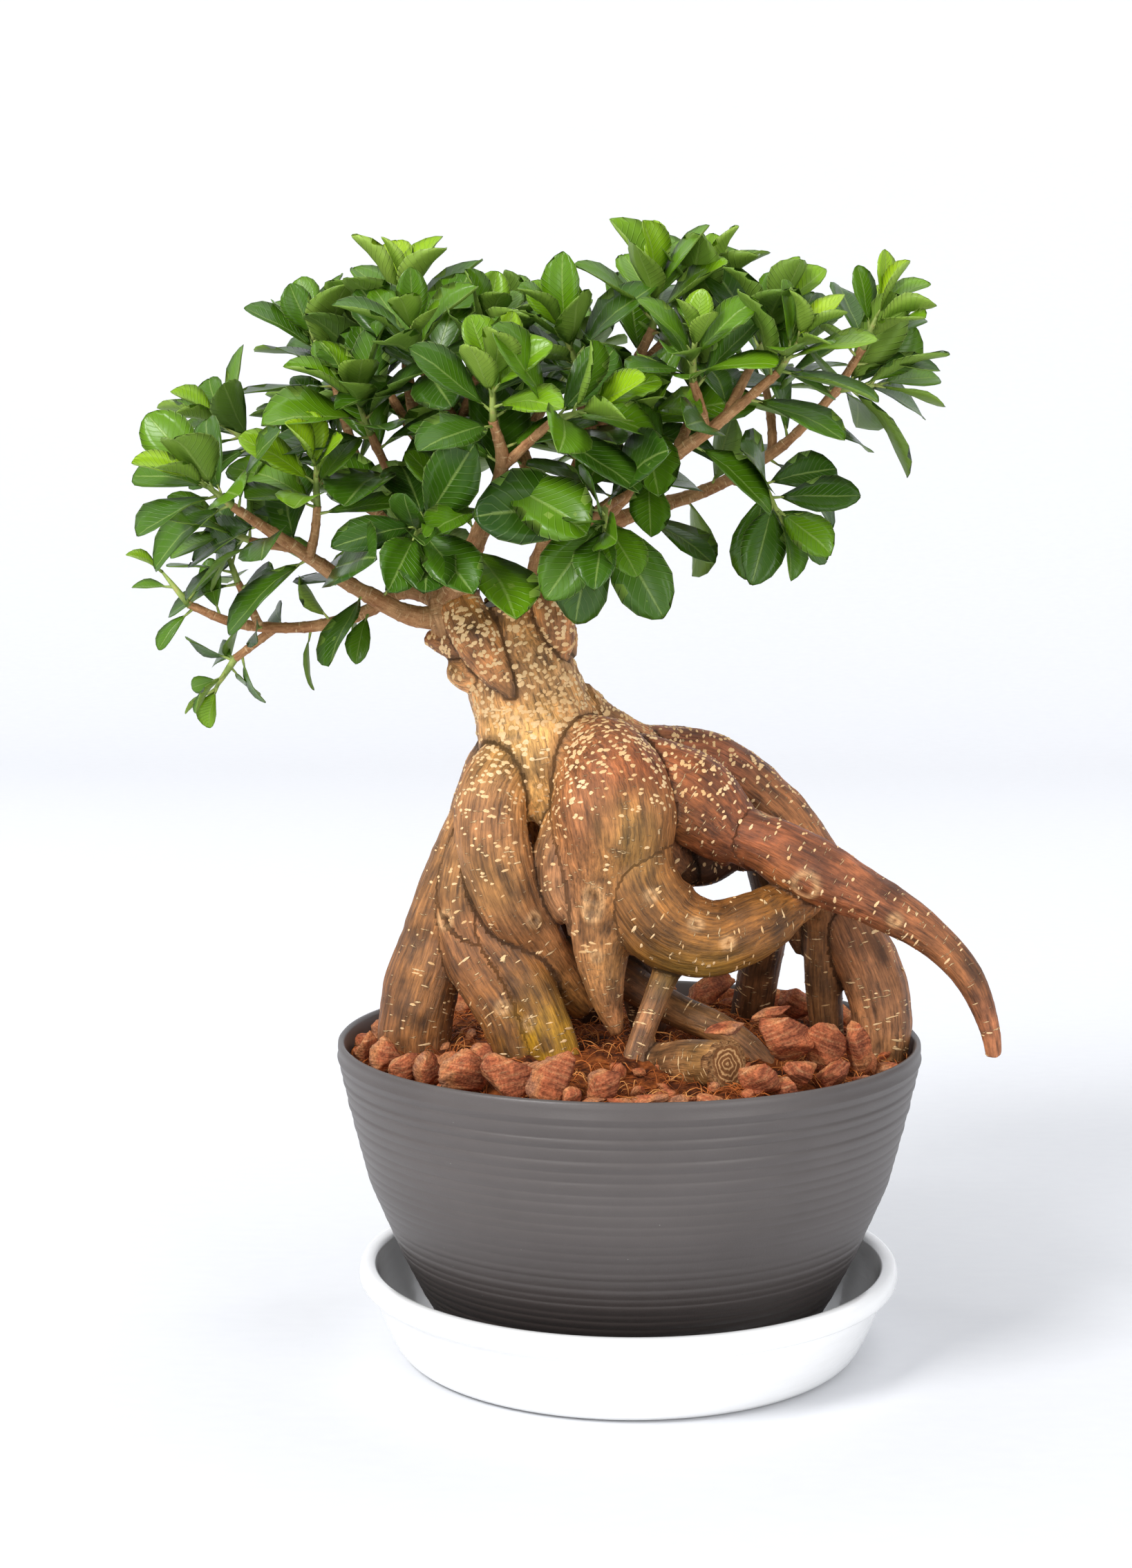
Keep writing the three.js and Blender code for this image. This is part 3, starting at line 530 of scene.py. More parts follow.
def smooth_path(rows, count):
    """`count` evenly spaced points (x, y, z, radius) on a smooth curve through the rows: a cubic
    between each two knots, its slope at a knot taken from the knots on both sides."""
    knots = np.asarray(rows, float)
    gaps = np.sqrt(np.linalg.norm(np.diff(knots[:, :3], axis=0), axis=1))
    time = np.concatenate([[0.0], np.cumsum(gaps)])
    slopes = np.diff(knots, axis=0) / gaps[:, None]
    tangent = np.empty_like(knots)
    tangent[0], tangent[-1] = slopes[0], slopes[-1]
    before, after = gaps[:-1, None], gaps[1:, None]
    tangent[1:-1] = (slopes[:-1] * after + slopes[1:] * before) / (before + after)
    fine = np.linspace(0.0, time[-1], count * 8)
    seat = np.clip(np.searchsorted(time, fine, side="right") - 1, 0, len(gaps) - 1)
    gap = gaps[seat][:, None]
    s = (fine[:, None] - time[seat][:, None]) / gap
    curve = (
        (2 * s**3 - 3 * s**2 + 1) * knots[seat]
        + (s**3 - 2 * s**2 + s) * gap * tangent[seat]
        + (3 * s**2 - 2 * s**3) * knots[seat + 1]
        + (s**3 - s**2) * gap * tangent[seat + 1]
    )
    length = np.concatenate([[0.0], np.cumsum(np.linalg.norm(np.diff(curve[:, :3], axis=0), axis=1))])
    wanted = np.linspace(0.0, length[-1], count)
    return np.stack([np.interp(wanted, length, curve[:, k]) for k in range(4)], -1)


ROOT_STEPS, ROOT_SIDES = 60, 28
root_paths = {name: smooth_path(rows, ROOT_STEPS) for name, rows in ROOTS.items()}
core_points, core_quads, core_caps = [], [], []
for name, path in root_paths.items():
    points, quads, caps = strands(path[None, :, :3], path[None, :, 3], ROOT_SIDES)
    start = sum(len(p) for p in core_points)
    core_points.append(points)
    core_quads.append(quads + start)
    core_caps.append(caps + start)
core = mesh_of(
    "root_core", np.concatenate(core_points), np.concatenate(core_quads), np.concatenate(core_caps)
)
fuse = core.modifiers.new("fuse", "REMESH")
fuse.mode = "VOXEL"
fuse.voxel_size = 1.25 * MM
fuse.use_smooth_shade = True
relax = core.modifiers.new("relax", "SMOOTH")
relax.factor = 0.5
relax.iterations = 6
fused = core.evaluated_get(bpy.context.evaluated_depsgraph_get()).to_mesh()
skin = np.empty(len(fused.vertices) * 3)
skin_normal = np.empty(len(fused.vertices) * 3)
fused.vertices.foreach_get("co", skin)
fused.vertices.foreach_get("normal", skin_normal)
skin = skin.reshape(-1, 3) / MM
skin_normal = skin_normal.reshape(-1, 3)
skin_faces = np.empty(len(fused.polygons) * 4, np.int32)
fused.loops.foreach_get("vertex_index", skin_faces)
skin_faces = skin_faces.reshape(-1, 4)
bpy.data.objects.remove(core, do_unlink=True)

# On-screen colour of the bark of each root, at its upper and its lower end.
BARK = {
    "trunk": ((122, 74, 38), (232, 176, 108)), "trunk_flare": ((206, 152, 96), (176, 118, 72)),
    "left_flap": ((172, 112, 64), (156, 102, 58)), "left_heel": ((176, 116, 70), (140, 84, 48)),
    "left_ledge": ((188, 134, 84), (176, 124, 78)), "right_shoulder": ((190, 138, 88), (166, 108, 62)),
    "right_tongue": ((180, 122, 76), (160, 102, 58)), "left_outer": ((164, 110, 68), (126, 78, 42)),
    "left_front": ((164, 114, 72), (150, 96, 52)), "left_web": ((158, 110, 68), (142, 94, 56)),
    "left_inner": ((122, 76, 42), (126, 80, 34)), "left_inner_flank": ((122, 76, 40), (138, 96, 34)),
    "back_root": ((104, 70, 42), (92, 60, 36)), "bulb": ((168, 104, 64), (158, 108, 68)),
    "bulb_lobe": ((156, 106, 66), (170, 122, 82)), "bulb_back": ((124, 80, 48), (96, 62, 36)),
    "loop": ((140, 88, 46), (132, 82, 34)), "arch": ((134, 70, 46), (154, 106, 66)),
    # The under_shoulder browns are painted shade for the shaded underside of the shoulder.
    "reach_shoulder": ((132, 74, 40), (134, 76, 42)), "under_shoulder": ((84, 52, 32), (76, 46, 28)),
    "reach": ((120, 64, 34), (148, 92, 58)), "stilt": ((132, 88, 54), (142, 98, 60)),
    "hidden_root": ((92, 60, 36), (88, 56, 34)), "back_stub": ((104, 70, 42), (104, 68, 40)),
    "broken_root": ((104, 68, 42), (90, 58, 36)), "upright": ((130, 86, 48), (138, 98, 60)),
    "creeper": ((124, 82, 48), (134, 90, 54)), "cut_stub": ((140, 98, 58), (150, 104, 64)),
}


BATCH = 20000  # points worked on at a time


def lie_on_roots(points):
    """For each point: which root's skin is nearest, how much further the next family of roots is,
    where the point lies in that root's own straightened frame (two across, one along), and the
    bark colour blended over the roots around it."""
    best = np.full(len(points), 1e9)
    families = sorted({FAMILY.get(name, name) for name in ROOTS})
    reach_of = np.full((len(families), len(points)), 1e9)
    owner = np.zeros(len(points), int)
    local = np.zeros((len(points), 3))
    ahead = np.zeros((len(points), 3))
    girth = np.zeros(len(points))
    colour = np.zeros((len(points), 3))
    weight = np.zeros(len(points))
    for k, (name, path) in enumerate(root_paths.items()):
        way = np.gradient(path[:, :3], axis=0)
        way /= np.linalg.norm(way, axis=1, keepdims=True)
        side = np.cross(way, SLANT)
        side /= np.linalg.norm(side, axis=1, keepdims=True)
        out = np.cross(side, way)
        travelled = np.concatenate([[0], np.cumsum(np.linalg.norm(np.diff(path[:, :3], axis=0), axis=1))])
        for low in range(0, len(points), BATCH):
            part = slice(low, low + BATCH)
            gap = points[part, None] - path[None, :, :3]
            away = np.linalg.norm(gap, axis=2) - path[None, :, 3]
            at = away.argmin(1)
            pick = np.arange(len(at))
            near, offset = away[pick, at], gap[pick, at]
            along_here = travelled[at] + (offset * way[at]).sum(1)
            spot = np.stack([(offset * side[at]).sum(1), (offset * out[at]).sum(1), along_here], -1)
            spot += np.array([31.0, 17.0, 97.0]) * k
            share = np.exp(-np.clip(near, -3, 30) / 2.5)
            top, low_end = linear(BARK[name][0]), linear(BARK[name][1])
            slide = (travelled[at] / travelled[-1])[:, None]
            colour[part] += share[:, None] * (top + (low_end - top) * slide)
            weight[part] += share
            wins = near < best[part]
            kin = families.index(FAMILY.get(name, name))
            reach_of[kin, part] = np.minimum(reach_of[kin, part], near)
            best[part] = np.where(wins, near, best[part])
            owner[part] = np.where(wins, k, owner[part])
            local[part] = np.where(wins[:, None], spot, local[part])
            ahead[part] = np.where(wins[:, None], way[at], ahead[part])
            girth[part] = np.where(wins, path[at, 3], girth[part])
    nearest = np.partition(reach_of, 1, axis=0)
    return owner, nearest[1] - nearest[0], local, ahead, girth, colour / weight[:, None]


owner, seam, local, ahead, girth, bark_colour = lie_on_roots(skin)
root_names = list(ROOTS)
gnarled = np.clip((skin[:, 2] - 226.0) / 20.0, 0, 1)
slender = np.clip((girth - 3.0) / 9.0, 0.2, 1.0)
woody = local * np.array([1.0, 1.0, 0.14])
swell = 1.2 * lumps(local * np.array([1, 1, 0.8]), 22.0, 11) + 0.6 * lumps(local, 9.0, 12)
wrinkle = 0.34 * lumps(woody, 3.0, 13) + 0.24 * lumps(woody, 1.7, 14)
rings = 0.20 * lumps(local * np.array([0.2, 0.2, 1.0]), 3.4, 15)
rough = gnarled * (0.75 * lumps(local, 5.0, 16) + 0.5 * lumps(local, 2.4, 17))
crease = np.clip(1.0 - seam / 2.2, 0.0, 1.0)
push = (swell + wrinkle + rings + rough) * slender - 0.6 * crease * np.clip((girth - 5) / 8, 0, 1)

# Scars: a healed ring with a sunken or a proud middle. Rows are x, y, z, ring radius, ring height,
# middle height.
SCARS = [
    (-44, -23, 240, 4.4, 0.9, 0.6), (-13.5, -45, 180, 3.4, 0.2, -1.9), (-14, -45, 177.5, 3.4, 0.1, -1.9),
    (-14.5, -45, 175, 3.2, 0.2, -1.9),
    (64, -36, 184, 4.4, 0.8, 0.9), (24, -48, 172, 2.0, 0.7, -0.7), (36, -46, 164, 1.8, 0.6, -0.6),
    (-33, -37, 171, 2.0, 0.8, -0.8), (-66, -20, 168, 2.6, 0.6, -1.6), (-46, -40, 139, 1.8, 0.6, -0.6),
    (-38, -44, 133, 1.8, 0.6, -0.6), (-20, -18, 262, 3.0, 0.6, -0.8), (96, -40, 172, 1.7, 0.5, -0.4),
    (8, -48, 182, 1.6, 0.5, -0.4), (-12, -44, 158, 1.6, 0.4, -0.4), (50, -20, 205, 2.6, -1.0, -1.6),
]
scar_middle = np.zeros(len(skin))
scar_ring = np.zeros(len(skin))
for x, y, z, ring_size, ring_height, middle in SCARS:
    off = np.linalg.norm(skin - np.array([x, y, z]), axis=1)
    close = np.linalg.norm((skin - skin[off.argmin()]), axis=1)
    ring = np.exp(-(((close - ring_size) / 1.2) ** 2))
    core_dip = np.exp(-((close / (0.6 * ring_size)) ** 2))
    push += ring_height * ring + middle * core_dip
    scar_ring = np.maximum(scar_ring, ring)
    scar_middle = np.where(np.abs(middle) * core_dip > np.abs(scar_middle), middle * core_dip, scar_middle)
skin = skin + skin_normal * push[:, None]

# The saw cut across the trunk: every point of the trunk above a slanting plane drops onto it.
is_trunk = owner == root_names.index("trunk")
cut_height = 285.0 + 0.42 * (skin[:, 0] + 50.0) + 0.10 * skin[:, 1]
sawn = is_trunk & (skin[:, 2] > cut_height)
skin[:, 2] = np.where(sawn, cut_height - 0.6 + 0.5 * lumps(skin, 2.2, 18), skin[:, 2])

# The bark greys in patches and yellows at the foot of the inner left root; painted shade darkens it in the
# creases between roots and in the sunken middles of scars. The cut face is dark, the healed rings are pale.
tone = 1.0 + 0.36 * lumps(woody, 2.4, 21) + 0.36 * lumps(local, 13.0, 22) + 0.28 * lumps(local, 5.0, 24)
tint = bark_colour * np.clip(tone, 0.35, 1.8)[:, None]
olive = np.clip(0.25 + 1.5 * lumps(skin, 26.0, 23), 0, 1)[:, None]
tint = tint * (1 - olive * np.array([0.10, 0.04, 0.22]))


def patch(middle, reach):
    """A soft patch on the skin: one at `middle`, falling off as a bell over `reach` mm each way."""
    return np.exp(-(np.linalg.norm((skin - np.array(middle)) / np.array(reach), axis=1) ** 2))


red_top = patch((4, -40, 226), (20, 26, 12))
tint = tint + (linear((150, 74, 36)) - tint) * (0.7 * red_top)[:, None]
mossy = patch((2, -48, 205), (13, 20, 17)) + patch((28, -44, 154), (30, 16, 9))
tint = tint + (linear((136, 118, 44)) - tint) * (0.38 * np.clip(mossy, 0, 1))[:, None]
yellow = patch((-30, -46, 128), (13, 14, 11)) * np.clip(0.6 + lumps(skin, 6.0, 25), 0, 1)
tint = tint + (linear((226, 170, 24)) - tint) * (0.8 * yellow)[:, None]
# Painted shade in the creases where two roots meet.
tint = tint * (1.0 - 0.6 * crease * (seam < 3))[:, None]
tint = tint + (linear((214, 168, 116)) - tint) * (0.6 * scar_ring)[:, None]
# Painted shade in the sunken middles of scars, darker the deeper they sink.
tint = tint * np.clip(1.0 + 0.35 * np.minimum(scar_middle, 0), 0.25, 1)[:, None]
tint = tint + (linear((98, 72, 36)) - tint) * (0.85 * sawn)[:, None]

rootstock = mesh_of("rootstock_bark", skin, skin_faces)


def paint(thing, name, values, kind="FLOAT_VECTOR"):
    """Stores one value for each point of the mesh as a named attribute."""
    held = thing.data.attributes.new(name, kind, "POINT")
    values = np.asarray(values, np.float32)
    if kind == "FLOAT":
        held.data.foreach_set("value", values.ravel())
    elif kind == "FLOAT_COLOR":
        full = np.concatenate([values, np.ones((len(values), 1), np.float32)], 1)
        held.data.foreach_set("color", full.ravel())
    else:
        held.data.foreach_set("vector", values.ravel())


paint(rootstock, "tint", tint, "FLOAT_COLOR")
paint(rootstock, "grain", local * MM)
bark, tree, shader = material("ficus_bark", 0.5, specular=0.4)
tint_in = node(tree, "Attribute", {"attribute_name": "tint"}).outputs["Color"]
grain_in = node(tree, "Attribute", {"attribute_name": "grain"}).outputs["Vector"]
lengthwise = node(tree, "Mapping", Vector=grain_in, Scale=(1.0, 1.0, 0.10)).outputs["Vector"]
crosswise = node(tree, "Mapping", Vector=grain_in, Scale=(0.35, 0.35, 1.5)).outputs["Vector"]
fibre = node(tree, "TexNoise", Vector=lengthwise, Scale=900.0, Detail=5.0, Roughness=0.65)
mottle = node(tree, "TexNoise", Vector=grain_in, Scale=160.0, Detail=4.0, Roughness=0.6)
corky = node(tree, "TexNoise", Vector=crosswise, Scale=620.0, Detail=2.0, Roughness=0.5)
fibre_shade = node(
    tree, "MapRange", Value=fibre.outputs["Fac"], From_Min=0.3, From_Max=0.7, To_Min=0.34, To_Max=1.72
)
mottle_shade = node(
    tree, "MapRange", Value=mottle.outputs["Fac"], From_Min=0.3, From_Max=0.7, To_Min=0.62, To_Max=1.34
)
both = node(tree, "Math", {"operation": "MULTIPLY"}, i0=fibre_shade.outputs[0], i1=mottle_shade.outputs[0])
shaded = node(tree, "VectorMath", {"operation": "SCALE"}, i0=tint_in, Scale=both.outputs[0])
cork_here = node(tree, "MapRange", Value=corky.outputs["Fac"], From_Min=0.655, From_Max=0.70)
cork_tone = mix(tree, cork_here.outputs["Result"], shaded.outputs[0], rgba((226, 190, 140)))
tree.links.new(cork_tone, shader.inputs["Base Color"])
height = node(tree, "Math", {"operation": "ADD"}, i0=fibre.outputs["Fac"], i1=cork_here.outputs["Result"])
bump(tree, shader, height.outputs[0], 0.7)
rootstock.data.materials.append(bark)
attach(rootstock, "root")
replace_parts(rootstock, "rootstock")

# The sawn end of the front root: a plug of end grain with growth rings and a ragged rim. Its
# profile of radius and height is turned about the root's own line.
stub_end, stub_from = np.array([34.0, -73.0, 126.0]), np.array([20.0, -54.0, 122.0])
stub_way = (stub_end - stub_from) / np.linalg.norm(stub_end - stub_from)
stub_side = np.cross(stub_way, (0, 0, 1))
stub_side /= np.linalg.norm(stub_side)
stub_up = np.cross(stub_side, stub_way)
END_PROFILE = np.array(
    [(8.4, -3), (8.9, 0.4), (8.3, 1.3), (7.6, 0.9), (6.2, 1.2), (4.4, 1.0), (2.6, 1.3), (1.0, 1.1)]
)
END_SIDES = 56
end_turn = np.arange(END_SIDES) * (2 * math.pi / END_SIDES)
out_of_round = 1 + 0.05 * np.sin(3 * end_turn + 1) + 0.03 * np.sin(7 * end_turn)
end_radius = np.repeat(END_PROFILE[:, :1], END_SIDES, 1) * out_of_round
end_flat = end_radius[..., None] * np.stack([np.cos(end_turn), np.sin(end_turn)], -1)
end_height = np.repeat(END_PROFILE[:, 1:], END_SIDES, 1)
end_spot = np.concatenate([end_flat, end_height[..., None]], -1).reshape(-1, 3)
end_height = end_height + 0.45 * lumps(end_spot, 1.6, 19).reshape(end_height.shape)
end_points = stub_end + stub_side * end_flat[..., :1] + stub_up * end_flat[..., 1:]
end_points = (end_points + stub_way * end_height[..., None]).reshape(-1, 3)
end_points = np.concatenate([end_points, [stub_end - stub_way * 3, stub_end + stub_way * 1.2]])
ring_step, ring_next = np.arange(END_SIDES), (np.arange(END_SIDES) + 1) % END_SIDES
back_fan = np.stack([ring_next, ring_step, np.full(END_SIDES, len(end_points) - 2)], -1)
last_ring = (len(END_PROFILE) - 1) * END_SIDES
front_fan = np.stack(
    [ring_step + last_ring, ring_next + last_ring, np.full(END_SIDES, len(end_points) - 1)], -1
)
end_grain = mesh_of(
    "stub_end_grain", end_points, grid_faces(len(END_PROFILE), END_SIDES, True), back_fan, front_fan
)
end_flat_all = np.concatenate([end_flat.reshape(-1, 2), np.zeros((2, 2))])
paint(end_grain, "section", np.concatenate([end_flat_all, np.zeros((len(end_points), 1))], 1) * MM)
end_skin, tree, shader = material("end_grain", 0.8, specular=0.2)
section_in = node(tree, "Attribute", {"attribute_name": "section"}).outputs["Vector"]
waver = node(tree, "TexNoise", Vector=section_in, Scale=260.0, Detail=3.0)
from_heart = node(tree, "VectorMath", {"operation": "LENGTH"}, i0=section_in).outputs["Value"]
bent = node(
    tree, "Math", {"operation": "MULTIPLY_ADD"}, i0=waver.outputs["Fac"], i1=0.0036, i2=from_heart
).outputs[0]
ring_wave = node(tree, "Math", {"operation": "MULTIPLY"}, i0=bent, i1=3700.0).outputs[0]
ringing = node(tree, "Math", {"operation": "SINE"}, i0=ring_wave)
ring_tone = ramp(
    tree, ringing.outputs[0], (0.0, (122, 78, 44)), (0.5, (172, 124, 78)), (1.0, (204, 160, 110))
)
at_rim = node(tree, "MapRange", Value=bent, From_Min=0.0078, From_Max=0.0092).outputs["Result"]
torn = node(tree, "TexNoise", Vector=section_in, Scale=900.0, Detail=4.0, Roughness=0.7)
rim_tone = ramp(
    tree, torn.outputs["Fac"], (0.35, (70, 44, 26)), (0.55, (146, 102, 62)), (0.7, (206, 164, 112))
)
tree.links.new(mix(tree, at_rim, ring_tone, rim_tone), shader.inputs["Base Color"])
bump(tree, shader, torn.outputs["Fac"], 0.5)
end_grain.data.materials.append(end_skin)
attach(end_grain, "root")

# Lenticels: raised corky dashes that lie across each root, crowded and rounder on the trunk.
chance = np.random.default_rng(7)
DASHES = 3400
high = np.clip((skin[:, 2] - 200.0) / 40.0, 0, 1)
pull = np.clip(0.16 + 2.4 * high + 0.5 * lumps(local, 14.0, 31), 0.05, None) * np.where(sawn, 0.0, 1.0)
pull *= np.clip((skin[:, 2] - 114.0) / 6.0, 0, 1) * np.clip(girth / 9.0, 0.1, 1.0) * (seam > 1.2)
chosen = chance.choice(len(skin), DASHES, replace=False, p=pull / pull.sum())
dash_out = skin_normal[chosen]
dash_along = ahead[chosen] - dash_out * (ahead[chosen] * dash_out).sum(1, keepdims=True)
dash_along /= np.linalg.norm(dash_along, axis=1, keepdims=True) + 1e-9
dash_across = np.cross(dash_along, dash_out)
tilt = (chance.random(DASHES) - 0.5)[:, None] * 0.5
dash_across = dash_across + dash_along * tilt
dash_across /= np.linalg.norm(dash_across, axis=1, keepdims=True)
dash_along = np.cross(dash_out, dash_across)
crowded = high[chosen]
low_down = np.clip((185.0 - skin[chosen][:, 2]) / 40.0, 0, 1)
half_long = 0.9 + (0.7 + 2.1 * low_down) * chance.random(DASHES) ** 1.5
half_wide = (0.5 + 0.36 * chance.random(DASHES)) * (1 + 0.4 * crowded - 0.3 * low_down)
u = np.array([-1.0, -0.62, 0.0, 0.62, 1.0])
v = np.array([-1.0, 0.0, 1.0])
DASH_POINTS = len(u) * len(v)
u_grid, v_grid = np.meshgrid(u, v, indexing="ij")
plan = np.sqrt(np.clip(1.0 - 0.96 * u_grid**2, 0.04, 1))
dome = (1 - u_grid**2 * 0.9) * (1 - np.abs(v_grid)) - 0.35
sag = (u_grid.ravel()[None] * half_long[:, None]) ** 2 / (2.0 * np.maximum(girth[chosen], 3.0))[:, None]
dash_points = (
    skin[chosen][:, None]
    + dash_across[:, None] * (u_grid.ravel()[None] * half_long[:, None])[..., None]
    + dash_along[:, None] * ((v_grid * plan).ravel()[None] * half_wide[:, None])[..., None]
    + dash_out[:, None] * (dome.ravel()[None] * 0.34 - sag)[..., None]
)
one_dash = grid_faces(len(u), len(v))[None, :, ::-1]
dash_faces = (one_dash + (np.arange(DASHES) * DASH_POINTS)[:, None, None]).reshape(-1, 4)
dashes = mesh_of("lenticels", dash_points.reshape(-1, 3), dash_faces)
cork, tree, shader = material("lenticel_cork", 0.85, specular=0.2)
place = node(tree, "TexCoord").outputs["Object"]
patch = node(tree, "TexNoise", Vector=place, Scale=60.0, Detail=3.0)
fine = node(tree, "TexNoise", Vector=place, Scale=1400.0, Detail=2.0)
tree.links.new(
    mix(
        tree,
        fine.outputs["Fac"],
        ramp(
            tree, patch.outputs["Fac"], (0.3, (206, 162, 112)), (0.5, (238, 206, 158)),
            (0.75, (250, 230, 192))
        ),
        rgba((220, 176, 120)),
    ),
    shader.inputs["Base Color"],
)
bump(tree, shader, fine.outputs["Fac"], 0.12)
dashes.data.materials.append(cork)
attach(dashes, "root")

# ------------------------------------------------------------------------------------------
# Bark chips: broken lumps of pine bark heaped just inside the rim, angular, built of thin layers
# that show as strata on the torn sides. They lie loose on the mix and on each other.
# Rows are x, y, z, half width, half depth, half height, turn, lean.
CHIPS = [
    (-97, -27, 120, 4, 3.5, 7.5, 1.2, 0.15), (-88, -40, 121, 5.5, 5, 7, 0.5, -0.1),
    (-81, -55, 120, 7, 5, 5.5, 0.5, 0.2), (-71, -64, 121, 5.5, 5, 6, 0.9, 0.1),
    (-59, -75, 123, 8, 6, 7.5, 0.5, -0.15), (-52, -59, 125, 6, 4.5, 4.5, 0.2, 0.3),
    (-42, -85, 124, 9, 6, 8, 0.25, 0.1), (-26, -90, 125, 8.5, 6, 8.5, 0.1, -0.2),
    (-8, -90, 123, 7, 5, 6, -0.1, 0.25), (56, -52, 132, 9, 7, 8.5, -0.5, 0.2),
    (70, -50, 129, 7, 5.5, 9, -0.3, -0.2), (82, -48, 128, 4.5, 4, 11, -0.6, 0.1),
    (46, -80, 122, 6, 5, 7.5, -0.4, 0.35), (60, -70, 123, 5.5, 5, 5.5, -0.9, -0.3),
    (72, -65, 120, 10, 5, 4, -0.75, 0.3), (55, -81, 119, 4, 4, 4.5, -0.5, 0.1),
    (31, 58, 127, 10, 7, 6, 0.4, 0.2), (66, 43, 125, 9.5, 7, 5.5, -0.7, -0.2),
    (-10, 87, 120, 8.5, 6, 6.5, 0.1, 0.2), (-66, 62, 120, 8.5, 6, 6, 0.8, -0.2),
]
chip_skin, tree, shader = material("pine_bark", 0.85, specular=0.25)
layer_in = node(tree, "Attribute", {"attribute_name": "layer"}).outputs["Vector"]
bands = node(tree, "Mapping", Vector=layer_in, Scale=(0.22, 0.22, 2.4)).outputs["Vector"]
leafy = node(tree, "TexNoise", Vector=bands, Scale=360.0, Detail=5.0, Roughness=0.7)
patchy = node(tree, "TexNoise", Vector=layer_in, Scale=85.0, Detail=3.0)
grit = node(tree, "TexNoise", Vector=layer_in, Scale=1100.0, Detail=3.0)
band_colour = ramp(
    tree, leafy.outputs["Fac"],
    (0.30, (70, 32, 20)), (0.42, (142, 74, 44)), (0.52, (186, 108, 70)), (0.62, (206, 142, 96)),
    (0.74, (240, 206, 166)),
)
patch_colour = ramp(
    tree, patchy.outputs["Fac"],
    (0.36, (112, 58, 38)), (0.46, (188, 100, 62)), (0.56, (204, 140, 88)), (0.66, (150, 116, 92)),
)
chip_colour = mix(tree, 0.5, band_colour, patch_colour)
gritty = node(
    tree, "MapRange", Value=grit.outputs["Fac"], From_Min=0.35, From_Max=0.65, To_Min=0.6, To_Max=1.2
)
tree.links.new(
    node(tree, "VectorMath", {"operation": "SCALE"}, i0=chip_colour, Scale=gritty.outputs[0]).outputs[0],
    shader.inputs["Base Color"],
)
first = node(tree, "Math", {"operation": "ADD"}, i0=leafy.outputs["Fac"], i1=grit.outputs["Fac"])
bump(tree, shader, first.outputs[0], 0.55)


def broken_lumps(rows, chance, rings, spokes, planes=10):
    """Angular lumps: in every direction of a ball of rings and spokes the skin lies at the nearest
    of a few random planes, so the lump is a blunt many-sided stone. It is stretched to its three
    half sizes, torn in thin ledges one above the other, leaned, turned and set in its place.
    Returns the points and the same points in each lump's own layered frame."""
    rows = np.asarray(rows, float)
    count = len(rows)
    lat = np.linspace(-math.pi / 2, math.pi / 2, rings)[None, :, None]
    lon = (np.arange(spokes) * (2 * math.pi / spokes))[None, None, :]
    way = np.stack(
        np.broadcast_arrays(np.cos(lat) * np.cos(lon), np.cos(lat) * np.sin(lon), np.sin(lat)), -1
    )
    normals = chance.normal(size=(count, planes, 3))
    normals /= np.linalg.norm(normals, axis=-1, keepdims=True)
    reach = 0.62 + 0.24 * chance.random((count, 1, 1, planes))
    facing = np.einsum("xyzk,npk->nyzp", way, normals)
    skin_at = (reach / np.clip(facing, 0.12, None)).min(-1)
    spot = way * np.minimum(skin_at, 1.24)[..., None] * rows[:, None, None, 3:6]
    own = spot + (np.arange(count) * 57.0 + 11.0)[:, None, None, None]
    ledge = 0.04 * lumps(own * np.array([0.3, 0.3, 2.6]), 2.2, 52) + 0.05 * lumps(own, 2.8, 51)
    ledge += 0.03 * lumps(own * np.array([0.4, 0.4, 3.0]), 0.9, 53)
    spot = spot * (1.0 + ledge[..., None] * np.array([1.0, 1.0, 0.5]))
    for axes, angle in (((1, 2), rows[:, 7]), ((0, 2), rows[:, 7] * 1.7), ((0, 1), rows[:, 6])):
        c, s = np.cos(angle)[:, None, None], np.sin(angle)[:, None, None]
        first_part, second_part = spot[..., axes[0]].copy(), spot[..., axes[1]].copy()
        spot[..., axes[0]] = c * first_part - s * second_part
        spot[..., axes[1]] = s * first_part + c * second_part
    spot = (spot + rows[:, None, None, :3]).reshape(count, -1, 3)
    own = own.reshape(count, -1, 3)
    keep = np.arange(spokes - 1, rings * spokes - spokes + 1)  # one point for each pole
    return spot[:, keep].reshape(-1, 3), own[:, keep].reshape(-1, 3)


def lump_faces(count, rings, spokes):
    """Faces of that many lumps: walls of quads between the rings, and a fan at each pole. Point 0
    is the low pole, the last point is the high pole."""
    size = (rings - 2) * spokes + 2
    step = (np.arange(count) * size)[:, None, None]
    here, after = np.arange(spokes) + 1, (np.arange(spokes) + 1) % spokes + 1
    top = (rings - 3) * spokes
    low_fan = np.stack([after, here, np.zeros(spokes, int)], -1)
    high_fan = np.stack([here + top, after + top, np.full(spokes, size - 1)], -1)
    wall = grid_faces(rings - 2, spokes, wrap=True) + 1
    fans = np.stack([low_fan, high_fan]).reshape(1, -1, 3)
    return (wall[None] + step).reshape(-1, 4), (fans + step).reshape(-1, 3)


CHIP_RINGS, CHIP_SPOKES = 34, 56
chance = np.random.default_rng(12)
for k, row in enumerate(CHIPS):
    points, layers = broken_lumps([row], chance, CHIP_RINGS, CHIP_SPOKES)
    piece = mesh_of(f"bark_lump_{k + 1:02d}", points, *lump_faces(1, CHIP_RINGS, CHIP_SPOKES))
    paint(piece, "layer", layers * MM)
    piece.data.materials.append(chip_skin)
    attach(piece, "root")
    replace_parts(piece, f"bark_chip_{k + 1:02d}")

